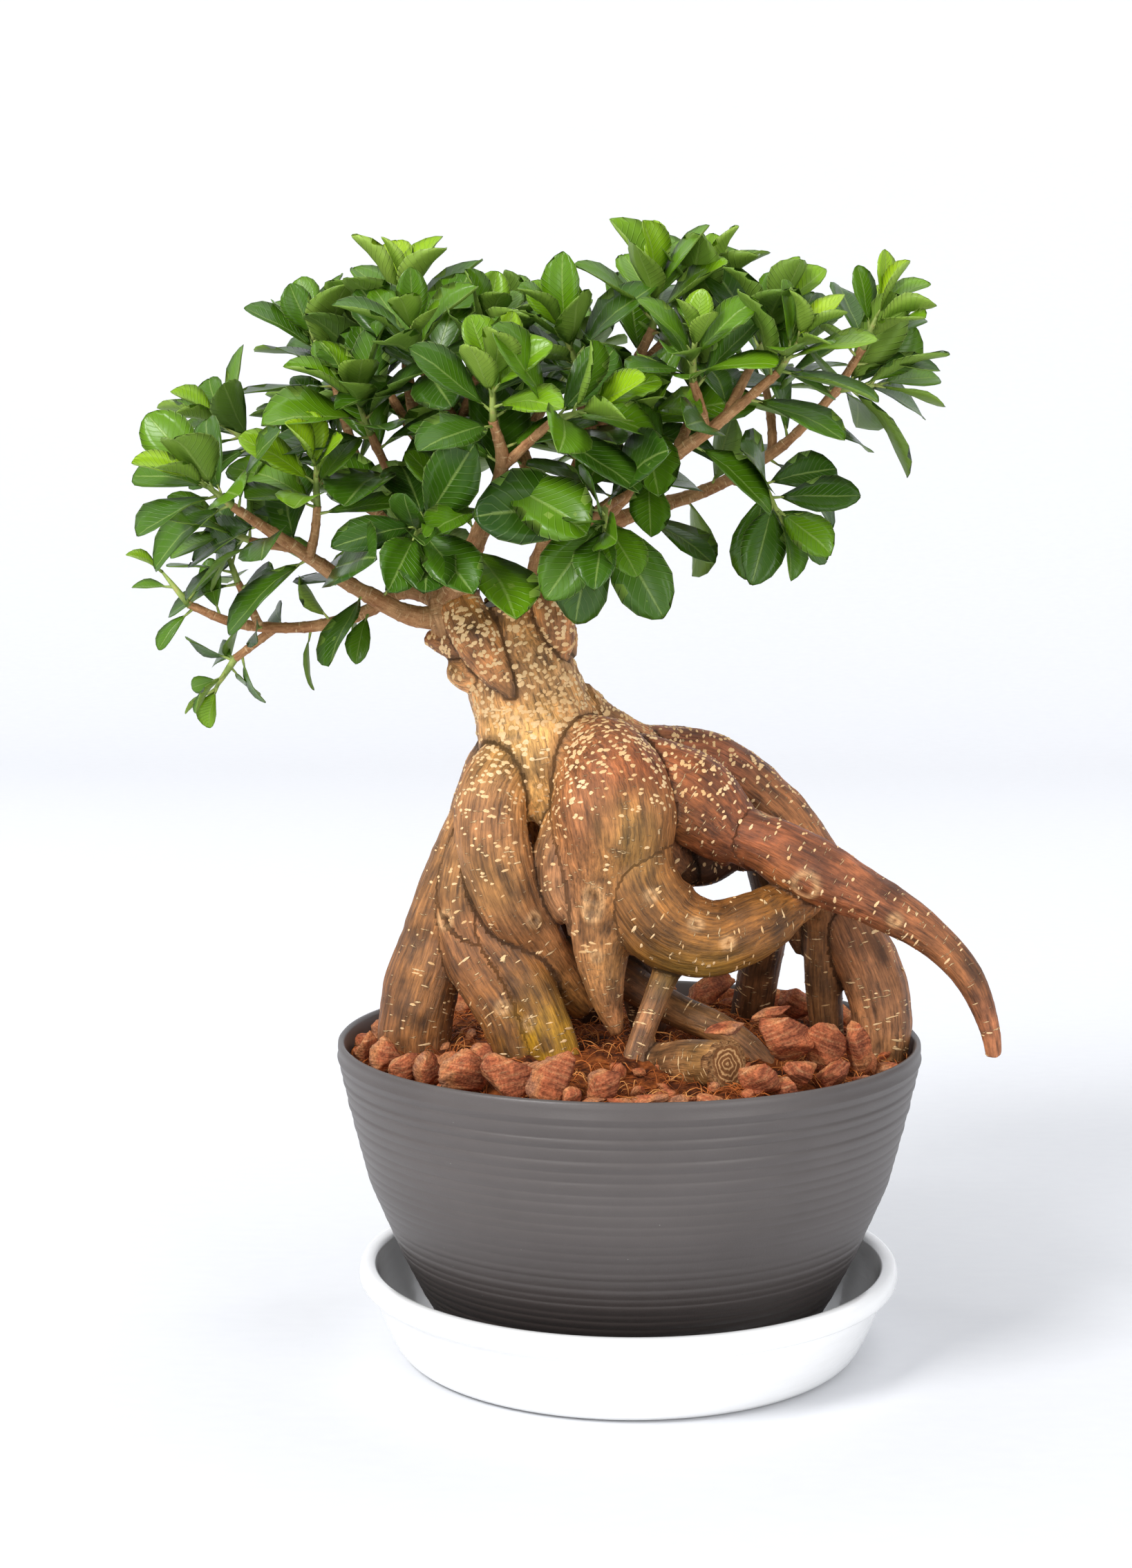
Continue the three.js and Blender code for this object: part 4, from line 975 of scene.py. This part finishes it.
# Thin slivers and crumbs of the same bark fill in between: first the ones that lie along the
# front, then small ones anywhere.
SLIVERS = [
    (-19, -99, 120, 4.2, 3, 3.4, 0.2, 0.3), (-13, -100, 118.6, 5.6, 3, 1.8, 0.1, 0.1),
    (-3, -100, 118.8, 5, 3, 1.8, 0.0, -0.1), (6, -98, 119, 6.8, 3.4, 2.2, -0.1, 0.15),
    (17, -97, 118, 5, 3.6, 3, 0.3, 0.2), (28, -96, 118, 4.4, 3.6, 3, -0.3, -0.2),
    (84, -58, 117, 5.4, 3.4, 2.6, -0.6, 0.1), (52, -44, 138.5, 6.6, 4.5, 1.8, -0.3, 0.2),
    (34, -60, 136, 7.2, 4, 1.8, 0.1, 0.1), (-34, -72, 123, 5, 4, 3.4, 0.4, 0.2),
    (-66, -50, 121, 5.6, 4, 3.2, 0.2, 0.4),
    (93, -42, 117, 4.4, 4, 3.2, -1.0, 0.2), (-99, -12, 117, 4, 3.6, 3.6, 1.4, 0.2),
    (-101, 6, 116, 5, 4, 4, 1.6, 0.1),
    (-96, 24, 117, 6.4, 5, 4.4, 1.9, 0.2), (-84, 46, 117, 7.4, 5, 5, 2.2, -0.2),
    (-40, 84, 118, 7, 5.2, 5, 2.8, 0.2),
    (14, 94, 117, 7, 5, 4.6, 0.1, -0.2), (38, 84, 119, 7.6, 5.4, 5, -0.3, 0.2),
    (58, 70, 119, 6.4, 5, 5, -0.8, 0.2),
    (84, 48, 118, 7, 5, 5, -1.0, -0.1), (12, 66, 123, 7, 5.4, 4.4, 0.6, 0.2),
    (-20, 60, 124, 7.4, 5.6, 4.2, 1.2, 0.1),
    (94, 28, 118, 6.4, 4.8, 4.6, -1.2, 0.2), (48, 62, 123, 6, 5, 4.4, 0.2, 0.4),
    (-50, 40, 123, 6.4, 5, 4, 0.9, -0.3),
]
CRUMBS = 170
FULL_TURN = 6.28
crumb_away = 101.0 * np.sqrt(0.3 + 0.7 * chance.random(CRUMBS))
crumb_bearing = chance.random(CRUMBS) * 2 * math.pi
crumb_x, crumb_y = crumb_away * np.cos(crumb_bearing), crumb_away * np.sin(crumb_bearing)
crumb_size = 1.6 + 3.0 * chance.random(CRUMBS) ** 1.8
crumb_rows = np.stack([
    crumb_x, crumb_y, soil_height(crumb_x, crumb_y) + 0.25 * crumb_size, crumb_size * 1.25,
    crumb_size * 0.8,
    crumb_size * 0.6, chance.random(CRUMBS) * FULL_TURN, chance.random(CRUMBS) - 0.5,
], -1)
for name, rows, rings, spokes in (("bark_slivers", SLIVERS, 24, 40), ("bark_crumbs", crumb_rows, 7, 10)):
    points, layers = broken_lumps(rows, chance, rings, spokes)
    piece = mesh_of(name, points, *lump_faces(len(rows), rings, spokes))
    paint(piece, "layer", layers * MM)
    piece.data.materials.append(chip_skin)
    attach(piece, "root")

# ------------------------------------------------------------------------------------------
# Grafts: two scions bound onto the shoulders of the sawn trunk, each with its own branches and
# twigs. The young bark is tan, flaky and ringed where old leaves have dropped.

LEFT_TWIGS = [
    [(-60, -5, 266, 6.5), (-64, -5, 275, 9.5), (-66, -4, 284, 9), (-67, -3, 292, 7)],
    [
        (-66, -4, 280, 5.5), (-78, -8, 279, 4), (-98, -16, 289, 3), (-120, -24, 304, 2.4),
        (-143, -30, 320, 1.6)
    ],
    [(-116, -24, 302, 2), (-114, -25, 311, 1.7), (-113, -26, 320, 1.5)],
    [(-122, -25, 305, 2), (-131, -18, 306, 1.7), (-139, -10, 307, 1.5)],
    [(-70, 0, 285, 3.6), (-84, 6, 288, 2.8), (-102, 11, 279, 2.5), (-125, 14, 274, 2.1), (-150, 12, 276, 1.8),
     (-166, 8, 283, 1.5)],
    [(-140, 13, 274, 1.9), (-144, 14, 283, 1.6), (-148, 13, 291, 1.5)],
    [(-134, 14, 274, 1.9), (-142, 16, 268, 1.6), (-150, 17, 262, 1.5)],
    [(-66, -8, 285, 6), (-59, -18, 300, 4), (-51, -32, 318, 3), (-45, -46, 336, 2.4), (-48, -52, 350, 1.6)],
    [(-45, -45, 334, 2), (-36, -50, 342, 1.7), (-27, -55, 350, 1.5)],
    [(-60, -17, 298, 2.2), (-67, -25, 306, 1.8), (-74, -33, 314, 1.5)],
    [(-69, 0, 287, 5.5), (-82, 16, 302, 3.5), (-98, 31, 321, 2.8), (-112, 40, 340, 1.8)],
    [(-78, 12, 298, 2.6), (-84, 8, 318, 2), (-95, -10, 346, 1.6)],
    [(-96, 29, 317, 2.4), (-120, 26, 330, 2), (-142, 14, 343, 1.5)],
    [(-102, 34, 326, 2.3), (-108, 33, 348, 1.9), (-113, 26, 370, 1.6)],
    [(-67, 0, 289, 5), (-72, 15, 312, 3.4), (-79, 18, 340, 2.7), (-85, 10, 384, 1.7)],
    [(-80, 18, 344, 2.2), (-89, 26, 358, 1.8), (-97, 34, 370, 1.5)],
    [(-75, 18, 325, 2.3), (-66, 10, 345, 2), (-56, -4, 368, 1.6)],
    [(-79, 18, 342, 2.2), (-72, 31, 356, 1.8), (-64, 44, 367, 1.5)],
    [(-64, 8, 349, 2), (-70, -7, 360, 1.7), (-76, -20, 370, 1.5)],
]
RIGHT_TWIGS = [
    [(-29, 2, 272, 6.5), (-30, 1, 283, 8.5), (-30, 0, 294, 8), (-28, 0, 310, 5.5)],
    [
        (-28, 2, 302, 5), (-17, 12, 309, 4), (2, 24, 317, 3), (30, 32, 326, 2.4), (56, 31, 341, 2),
        (78, 22, 363, 1.5)
    ],
    [(40, 33, 329, 2), (46, 23, 328, 1.7), (50, 12, 327, 1.5)],
    [(70, 26, 354, 1.8), (79, 19, 366, 1.6), (86, 12, 378, 1.5)],
    [(54, 32, 339, 2), (54, 40, 352, 1.7), (52, 47, 365, 1.5)],
    [(-28, -2, 304, 5), (-14, -9, 314, 3.8), (6, -26, 331, 2.8), (28, -34, 347, 2.2), (52, -36, 367, 1.5)],
    [(27, -34, 346, 2), (25, -37, 355, 1.7), (22, -40, 364, 1.5)],
    [(16, -31, 339, 2), (21, -18, 350, 1.8), (24, -4, 362, 1.5)],
    [(-3, -20, 324, 2.2), (-6, -30, 322, 1.8), (-9, -39, 319, 1.5)],
    [(34, -35, 352, 2), (40, -28, 364, 1.7), (46, -20, 375, 1.5)],
    [(-28, 0, 303, 6), (-23, 2, 322, 3.8), (-14, 0, 346, 3), (0, -7, 368, 2.3), (8, -10, 384, 1.6)],
    [(-15, 0, 345, 2.2), (-18, -10, 358, 1.9), (-19, -20, 370, 1.5)],
    [(2, -7, 369, 2.1), (12, -1, 379, 1.8), (23, 6, 388, 1.5)],
    [(-20, 2, 334, 2.3), (-9, -7, 343, 1.9), (2, -14, 349, 1.5)],
    [(-29, 3, 304, 5), (-37, 15, 328, 3), (-43, 23, 350, 2.4), (-42, 27, 373, 1.6)],
    [(-41, 20, 342, 2.2), (-35, 31, 354, 1.9), (-27, 42, 366, 1.5)],
]

twig_skin, tree, shader = material("twig_bark", 0.7, specular=0.25)
grain_in = node(tree, "Attribute", {"attribute_name": "grain"}).outputs["Vector"]
lengthwise = node(tree, "Mapping", Vector=grain_in, Scale=(1.0, 1.0, 0.22)).outputs["Vector"]
crosswise = node(tree, "Mapping", Vector=grain_in, Scale=(0.3, 0.3, 1.6)).outputs["Vector"]
flaky = node(tree, "TexNoise", Vector=lengthwise, Scale=850.0, Detail=5.0, Roughness=0.7)
ringed = node(tree, "TexNoise", Vector=crosswise, Scale=700.0, Detail=3.0, Roughness=0.6)
blotch = node(tree, "TexNoise", Vector=grain_in, Scale=110.0, Detail=3.0)
base = ramp(
    tree, flaky.outputs["Fac"],
    (0.3, (112, 74, 46)), (0.45, (164, 116, 76)), (0.6, (198, 148, 102)), (0.75, (226, 186, 138)),
)
blotched = mix(
    tree, 0.35, base, ramp(tree, blotch.outputs["Fac"], (0.4, (132, 84, 50)), (0.6, (176, 140, 98)))
)
pale_rings = node(tree, "MapRange", Value=ringed.outputs["Fac"], From_Min=0.6, From_Max=0.68)
tree.links.new(
    mix(tree, pale_rings.outputs["Result"], blotched, rgba((206, 172, 128))), shader.inputs["Base Color"]
)
twig_height = node(tree, "Math", {"operation": "ADD"}, i0=flaky.outputs["Fac"], i1=ringed.outputs["Fac"])
bump(tree, shader, twig_height.outputs[0], 0.5)


KNOT_SPACING = 7.0


def branchwork(name, routes, seed):
    """Every branch of a graft as a tube with knots: the radius swells at each old leaf scar and is
    roughened by lengthwise and crosswise lumps. All tubes of the graft are one mesh."""
    points, quads, caps, grains = [], [], [], []
    start = 0
    for k, rows in enumerate(routes):
        length = np.linalg.norm(np.diff(np.array(rows)[:, :3], axis=0), axis=1).sum()
        path = smooth_path(rows, int(12 + 1.4 * length))
        travelled = np.concatenate([[0], np.cumsum(np.linalg.norm(np.diff(path[:, :3], axis=0), axis=1))])
        knot = 0.16 * np.clip(
            np.cos(travelled * (2 * math.pi / KNOT_SPACING) + k), 0, 1
        ) ** 6 * path[:, 3] ** 0.3
        sides = 20 if path[0, 3] > 4.5 else 14
        tube, wall, cap = strands(path[None, :, :3], (path[:, 3] + knot)[None], sides)
        centre = np.concatenate([np.repeat(path[:, :3], sides, 0), path[[0, -1], :3]])
        out = tube - centre
        thick = np.linalg.norm(out, axis=1, keepdims=True) + 1e-6
        travel = np.concatenate([np.repeat(travelled, sides), travelled[[0, -1]]])
        angle = np.tile(np.arange(sides) * (2 * math.pi / sides), len(path))
        angle = np.concatenate([angle, [0, 0]])
        local_spot = np.stack([thick[:, 0] * np.cos(angle), thick[:, 0] * np.sin(angle), travel], -1)
        local_spot = local_spot + 23.0 * k + seed
        rough = 0.10 * lumps(local_spot * np.array([1, 1, 0.35]), 1.6, seed)
        rough = rough + 0.10 * lumps(local_spot, 4.5, seed + 1)
        tube = tube + out / thick * (rough * np.minimum(thick[:, 0], 8.0))[:, None] * 0.8
        points.append(tube)
        quads.append(wall + start)
        caps.append(cap + start)
        grains.append(local_spot)
        start += len(tube)
    piece = mesh_of(name, np.concatenate(points), np.concatenate(quads), np.concatenate(caps))
    paint(piece, "grain", np.concatenate(grains) * MM)
    piece.data.materials.append(twig_skin)
    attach(piece, "root")
    return piece


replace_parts(branchwork("left_graft_branches", LEFT_TWIGS, 61), "left_graft")
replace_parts(branchwork("right_graft_branches", RIGHT_TWIGS, 71), "right_graft")

# ------------------------------------------------------------------------------------------
# Leafy shoots: each grows from the end of a twig, a short green stem with leathery leaves set
# spirally round it, and older leaves along the twig below. Leaves are darkest and largest at the
# foot, lime green and small at the tip. Rows are the twig's number, the way the shoot grows, how
# many leaves stand on its stem, the length of the largest and how fresh the growth is, 0 to 1.

SHOOTS = {
    "left": [
        (1, (-0.7, -0.3, 0.6), 9, 34, 0.5), (2, (0, -0.3, 1), 7, 28, 0.75),
        (3, (-0.8, 0.2, 0.3), 8, 27, 0.3),
        (4, (-0.4, 0, 0.5), 3, 16, 0.4), (5, (-0.3, 0.1, 0.8), 6, 19, 0.3),
        (6, (-0.5, 0.2, -0.7), 6, 17, 0.35),
        (7, (0, -0.3, 1), 9, 31, 0.7), (8, (0.7, -0.4, 0.2), 7, 31, 0.5),
        (9, (-0.1, -0.7, -0.2), 6, 33, 0.1),
        (10, (-0.5, 0.5, 0.7), 10, 31, 0.2), (11, (-0.3, -0.5, 0.9), 10, 33, 0.35),
        (12, (-0.8, 0, 0.5), 9, 26, 0.4), (13, (-0.5, 0, 0.9), 9, 29, 0.3), (14, (0, 0, 1), 10, 31, 0.75),
        (15, (-0.5, 0.6, 0.7), 9, 29, 0.15), (16, (0.2, -0.3, 1), 10, 32, 0.4),
        (17, (0.2, 0.6, 0.8), 9, 29, 0.2), (18, (-0.1, -0.7, 0.7), 8, 30, 0.45),
    ],
    "right": [
        (1, (0.8, 0, 0.1), 9, 32, 0.2), (2, (0.3, -0.5, -0.6), 7, 30, 0.15),
        (3, (0.4, -0.1, 0.9), 9, 25, 0.7),
        (4, (0.2, 0.6, 0.8), 9, 29, 0.25), (5, (0.5, -0.4, 0.8), 9, 28, 0.7),
        (6, (0, -0.5, 0.9), 9, 26, 0.7),
        (7, (0.2, 0.2, 0.9), 9, 29, 0.3), (8, (0, -0.6, -0.3), 8, 34, 0.15),
        (9, (0.4, 0, 0.9), 9, 27, 0.45),
        (10, (0.1, -0.2, 1), 10, 31, 0.65), (11, (-0.4, -0.4, 0.9), 9, 29, 0.45),
        (12, (0.5, 0.1, 0.9), 10, 28, 0.6), (13, (0.3, -0.7, 0.3), 8, 30, 0.35),
        (14, (-0.1, 0.2, 1), 9, 31, 0.3),
        (15, (0.3, 0.7, 0.7), 9, 29, 0.25),
    ],
}

leaf_skin, tree, shader = material("ficus_leaf", 0.38, specular=0.3, coat=0.12, coat_roughness=0.15)
blade_in = node(tree, "Attribute", {"attribute_name": "blade"}).outputs["Vector"]
tone_in = node(tree, "Attribute", {"attribute_name": "leaf_tone"}).outputs["Fac"]
under_in = node(tree, "Attribute", {"attribute_name": "underside"}).outputs["Fac"]
split = node(tree, "SeparateXYZ", Vector=blade_in)
u_out, v_out = split.outputs["X"], split.outputs["Y"]
off_rib = node(tree, "Math", {"operation": "ABSOLUTE"}, i0=v_out).outputs[0]
rib = node(tree, "MapRange", Value=off_rib, From_Min=0.07, From_Max=0.02).outputs["Result"]
edge = node(tree, "MapRange", Value=off_rib, From_Min=0.93, From_Max=1.0).outputs["Result"]
slant = node(tree, "Math", {"operation": "MULTIPLY"}, i0=off_rib, i1=0.28).outputs[0]
vein_run = node(tree, "Math", {"operation": "SUBTRACT"}, i0=u_out, i1=slant).outputs[0]
vein_wave = node(tree, "Math", {"operation": "MULTIPLY"}, i0=vein_run, i1=75.0).outputs[0]
vein_sine = node(tree, "Math", {"operation": "SINE"}, i0=vein_wave).outputs[0]
vein = node(tree, "MapRange", Value=vein_sine, From_Min=0.75, From_Max=1.0).outputs["Result"]
top_colour = ramp(
    tree, tone_in,
    (0.0, (34, 68, 8)), (0.3, (62, 102, 8)), (0.55, (102, 146, 10)), (0.8, (146, 184, 20)),
    (1.0, (190, 214, 44)),
)
under_colour = ramp(tree, tone_in, (0.0, (96, 128, 46)), (0.5, (122, 152, 52)), (1.0, (160, 190, 74)))
blade_colour = mix(tree, under_in, top_colour, under_colour)
place = node(tree, "TexCoord").outputs["Object"]
blotch = node(tree, "TexNoise", Vector=place, Scale=70.0, Detail=3.0)
blotch_amount = node(
    tree, "MapRange", Value=blotch.outputs["Fac"], From_Min=0.35, From_Max=0.75, To_Min=0.0, To_Max=0.3
)
blade_colour = mix(tree, blotch_amount.outputs["Result"], blade_colour, rgba((88, 128, 30)))
vein_amount = node(tree, "Math", {"operation": "MULTIPLY"}, i0=vein, i1=0.10).outputs[0]
blade_colour = mix(tree, vein_amount, blade_colour, rgba((150, 180, 96)))
rib_amount = node(tree, "Math", {"operation": "MULTIPLY"}, i0=rib, i1=0.34).outputs[0]
blade_colour = mix(tree, rib_amount, blade_colour, rgba((168, 192, 104)))
edge_amount = node(tree, "Math", {"operation": "MULTIPLY"}, i0=edge, i1=0.35).outputs[0]
tree.links.new(mix(tree, edge_amount, blade_colour, rgba((170, 196, 110))), shader.inputs["Base Color"])
under_rough = node(tree, "MapRange", Value=under_in, To_Min=0.34, To_Max=0.6)
tree.links.new(under_rough.outputs["Result"], shader.inputs["Roughness"])
vein_height = node(tree, "Math", {"operation": "MULTIPLY_ADD"}, i0=rib, i1=-1.0, i2=vein).outputs[0]
bump(tree, shader, vein_height, 0.12)

stem_skin, tree, shader = material("green_stem", 0.5, specular=0.4)
place = node(tree, "TexCoord").outputs["Object"]
streak = node(tree, "TexNoise", Vector=place, Scale=260.0, Detail=3.0)
tree.links.new(
    ramp(
        tree, streak.outputs["Fac"], (0.35, (118, 140, 62)), (0.6, (158, 174, 88)), (0.75, (176, 150, 96))
    ),
    shader.inputs["Base Color"],
)
bump(tree, shader, streak.outputs["Fac"], 0.15)

ROWS, COLUMNS = 8, 5
LEAF_THICKNESS = 0.34
blade_u = np.array([0.0, 0.12, 0.30, 0.50, 0.70, 0.86, 0.96, 1.0])
outline = np.array([0.06, 0.34, 0.70, 0.96, 0.98, 0.74, 0.38, 0.06])
blade_v = np.linspace(-1.0, 1.0, COLUMNS)
U, V = np.meshgrid(blade_u, blade_v, indexing="ij")
top_index = np.arange(ROWS * COLUMNS).reshape(ROWS, COLUMNS)
under_index = top_index.copy()
inner_count = (ROWS - 2) * (COLUMNS - 2)
under_index[1:-1, 1:-1] = ROWS * COLUMNS + np.arange(inner_count).reshape(ROWS - 2, COLUMNS - 2)
top_faces = grid_faces(ROWS, COLUMNS)
under_faces = under_index.ravel()[top_faces][:, ::-1]
LEAF_POINTS = ROWS * COLUMNS + inner_count


def blades(foot, way, face, length, width, droop, cup, twist):
    """Leaf blades, one for each row of `foot`. The blade runs along `way` with its upper side to
    `face`. Its half width is greatest past the middle and rounds off at the tip. The sides fold up
    from the midrib by `cup`, the length bends down by `droop` times the square of the distance,
    and the tip turns by `twist`."""
    way = way / np.linalg.norm(way, axis=1, keepdims=True)
    side = np.cross(way, face)
    side /= np.linalg.norm(side, axis=1, keepdims=True) + 1e-9
    up = np.cross(side, way)
    u, v = U[None], V[None]
    half = width[:, None, None] * 0.5 * outline[None, :, None]
    spin = twist[:, None, None] * u
    reach_x = v * half * np.cos(spin)
    lift = (
        np.abs(v) ** 1.4 * half * cup[:, None, None]
        + v * half * np.sin(spin)
        - droop[:, None, None] * length[:, None, None] * u**2
        + 0.012 * length[:, None, None] * np.sin(u * 9.0 + v * 2.0 + length[:, None, None])
    )
    along_x = length[:, None, None] * (u - 0.25 * droop[:, None, None] ** 2 * u**3)
    top = (
        foot[:, None, None]
        + way[:, None, None] * along_x[..., None]
        + side[:, None, None] * reach_x[..., None]
        + up[:, None, None] * lift[..., None]
    )
    under = top[:, 1:-1, 1:-1] - up[:, None, None] * LEAF_THICKNESS
    return np.concatenate([top.reshape(len(foot), -1, 3), under.reshape(len(foot), -1, 3)], 1)


def leafy_piece(name, foot, way, face, length, width, droop, cup, twist, tone, stems, stem_radii):
    """One mesh of leaf blades with their petioles and the stem they grow from; the blades take the
    leaf finish and the stem and petioles the green stem's."""
    leaves = blades(foot, way, face, length, width, droop, cup, twist)
    count = len(foot)
    step = (np.arange(count) * LEAF_POINTS)[:, None, None]
    top = (top_faces[None] + step).reshape(-1, 4)
    under = (under_faces[None] + step).reshape(-1, 4)
    tube, walls, caps = strands(stems, stem_radii, 6)
    base = count * LEAF_POINTS
    piece = mesh_of(
        name, np.concatenate([leaves.reshape(-1, 3), tube]), top, under, walls + base, caps + base
    )
    green = np.zeros(len(piece.data.polygons), np.int32)
    green[len(top) + len(under):] = 1
    piece.data.materials.append(leaf_skin)
    piece.data.materials.append(stem_skin)
    piece.data.polygons.foreach_set("material_index", green)
    uv = np.stack([U.ravel(), V.ravel(), np.zeros(ROWS * COLUMNS)], -1)
    inner_u, inner_v = U[1:-1, 1:-1].ravel(), V[1:-1, 1:-1].ravel()
    uv = np.concatenate([uv, np.stack([inner_u, inner_v, np.zeros(len(inner_u))], -1)])
    paint(piece, "blade", np.concatenate([np.tile(uv, (count, 1)), np.zeros((len(tube), 3))]))
    paint(piece, "leaf_tone", np.concatenate([np.repeat(tone, LEAF_POINTS), np.zeros(len(tube))]), "FLOAT")
    side_of = np.zeros(len(piece.data.polygons), np.float32)
    side_of[len(top):len(top) + len(under)] = 1.0
    held = piece.data.attributes.new("underside", "FLOAT", "FACE")
    held.data.foreach_set("value", side_of)
    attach(piece, "root")
    return piece


chance = np.random.default_rng(2024)
CROWN = {"left": np.array([-92.0, 6.0, 325.0]), "right": np.array([18.0, 2.0, 335.0])}
STEM, TWIG_STEPS, OLD_LEAF_SPACING, GOLDEN_ANGLE = 17.0, 40, 9.0, 2.39996
for side_name, twigs in (("left", LEFT_TWIGS), ("right", RIGHT_TWIGS)):
    for row, aim, leaves, longest, fresh in SHOOTS[side_name]:
        twig = smooth_path(twigs[row], TWIG_STEPS)[:, :3]
        start = twig[-1]
        way = np.array(aim, float) / np.linalg.norm(aim)
        twig_length = np.linalg.norm(np.diff(twig, axis=0), axis=1).sum()
        older = int(np.clip(twig_length / OLD_LEAF_SPACING, 2, 9))
        down_twig = np.linspace(TWIG_STEPS - 2, TWIG_STEPS - 1 - 3.0 * older, older).astype(int)
        count = older + leaves
        share = np.concatenate([np.full(older, -0.15), np.linspace(0.0, 1.0, leaves)])
        climb = np.clip(share, 0, 1)
        twig_way = twig[down_twig] - twig[down_twig - 3]
        twig_way /= np.linalg.norm(twig_way, axis=1, keepdims=True)
        axis = np.concatenate([twig_way, np.tile(way, (leaves, 1))])
        up_stem = start + way * (1.0 + (STEM - 2.5) * climb[older:, None])
        stem_spot = np.concatenate([twig[down_twig], up_stem])
        across_way = np.cross(axis, (0.31, 0.23, 0.92))
        across_way /= np.linalg.norm(across_way, axis=1, keepdims=True)
        other_way = np.cross(axis, across_way)
        spin = np.arange(count) * GOLDEN_ANGLE + chance.random() * FULL_TURN
        spin = spin + (chance.random(count) - 0.5) * 0.6
        rise = 0.15 + 1.0 * climb + (chance.random(count) - 0.5) * 0.4
        outward = across_way * np.cos(spin)[:, None] + other_way * np.sin(spin)[:, None]
        from_crown = stem_spot - CROWN[side_name]
        from_crown /= np.linalg.norm(from_crown, axis=1, keepdims=True)
        leaf_way = outward * np.cos(rise)[:, None] + axis * np.sin(rise)[:, None] + 0.35 * from_crown
        leaf_way[:, 2] += 0.12
        leaf_way /= np.linalg.norm(leaf_way, axis=1, keepdims=True)
        leaf_face = np.array([0, -0.40, 0.75]) + 0.45 * axis + 0.25 * from_crown
        leaf_face = leaf_face + 0.7 * (chance.random((count, 3)) - 0.5)
        length = longest * (1.14 - 0.44 * climb) * (0.84 + 0.32 * chance.random(count))
        width = length * (0.52 + 0.15 * chance.random(count))
        tone = 0.08 + 0.40 * fresh + 0.42 * (0.3 + fresh) * share + 0.36 * (chance.random(count) - 0.45)
        petiole = 4.5 * (1 - 0.4 * climb)
        leaf_foot = stem_spot + leaf_way * petiole[:, None]
        bow = np.linspace(0, 1, 4)
        petiole_paths = stem_spot[:, None] + (
            leaf_foot + leaf_way * 1.5 - stem_spot
        )[:, None] * bow[None, :, None]
        main_path = (start - way)[None] + way[None] * np.linspace(0, STEM, 4)[:, None]
        stems = np.concatenate([petiole_paths, main_path[None]])
        radii = np.concatenate(
            [np.tile(np.array([0.75, 0.6, 0.5, 0.3]), (count, 1)), [[1.45, 1.3, 1.0, 0.5]]]
        )
        piece = leafy_piece(
            f"{side_name}_leaves_{row:02d}", leaf_foot, leaf_way, leaf_face, length, width,
            0.06 + 0.26 * chance.random(count), 0.12 + (0.25 + 0.45 * climb) * chance.random(count),
            (chance.random(count) - 0.5) * 0.8, np.clip(tone, 0, 1), stems, radii,
        )
        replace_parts(piece, f"{side_name}_shoot_{row:02d}")
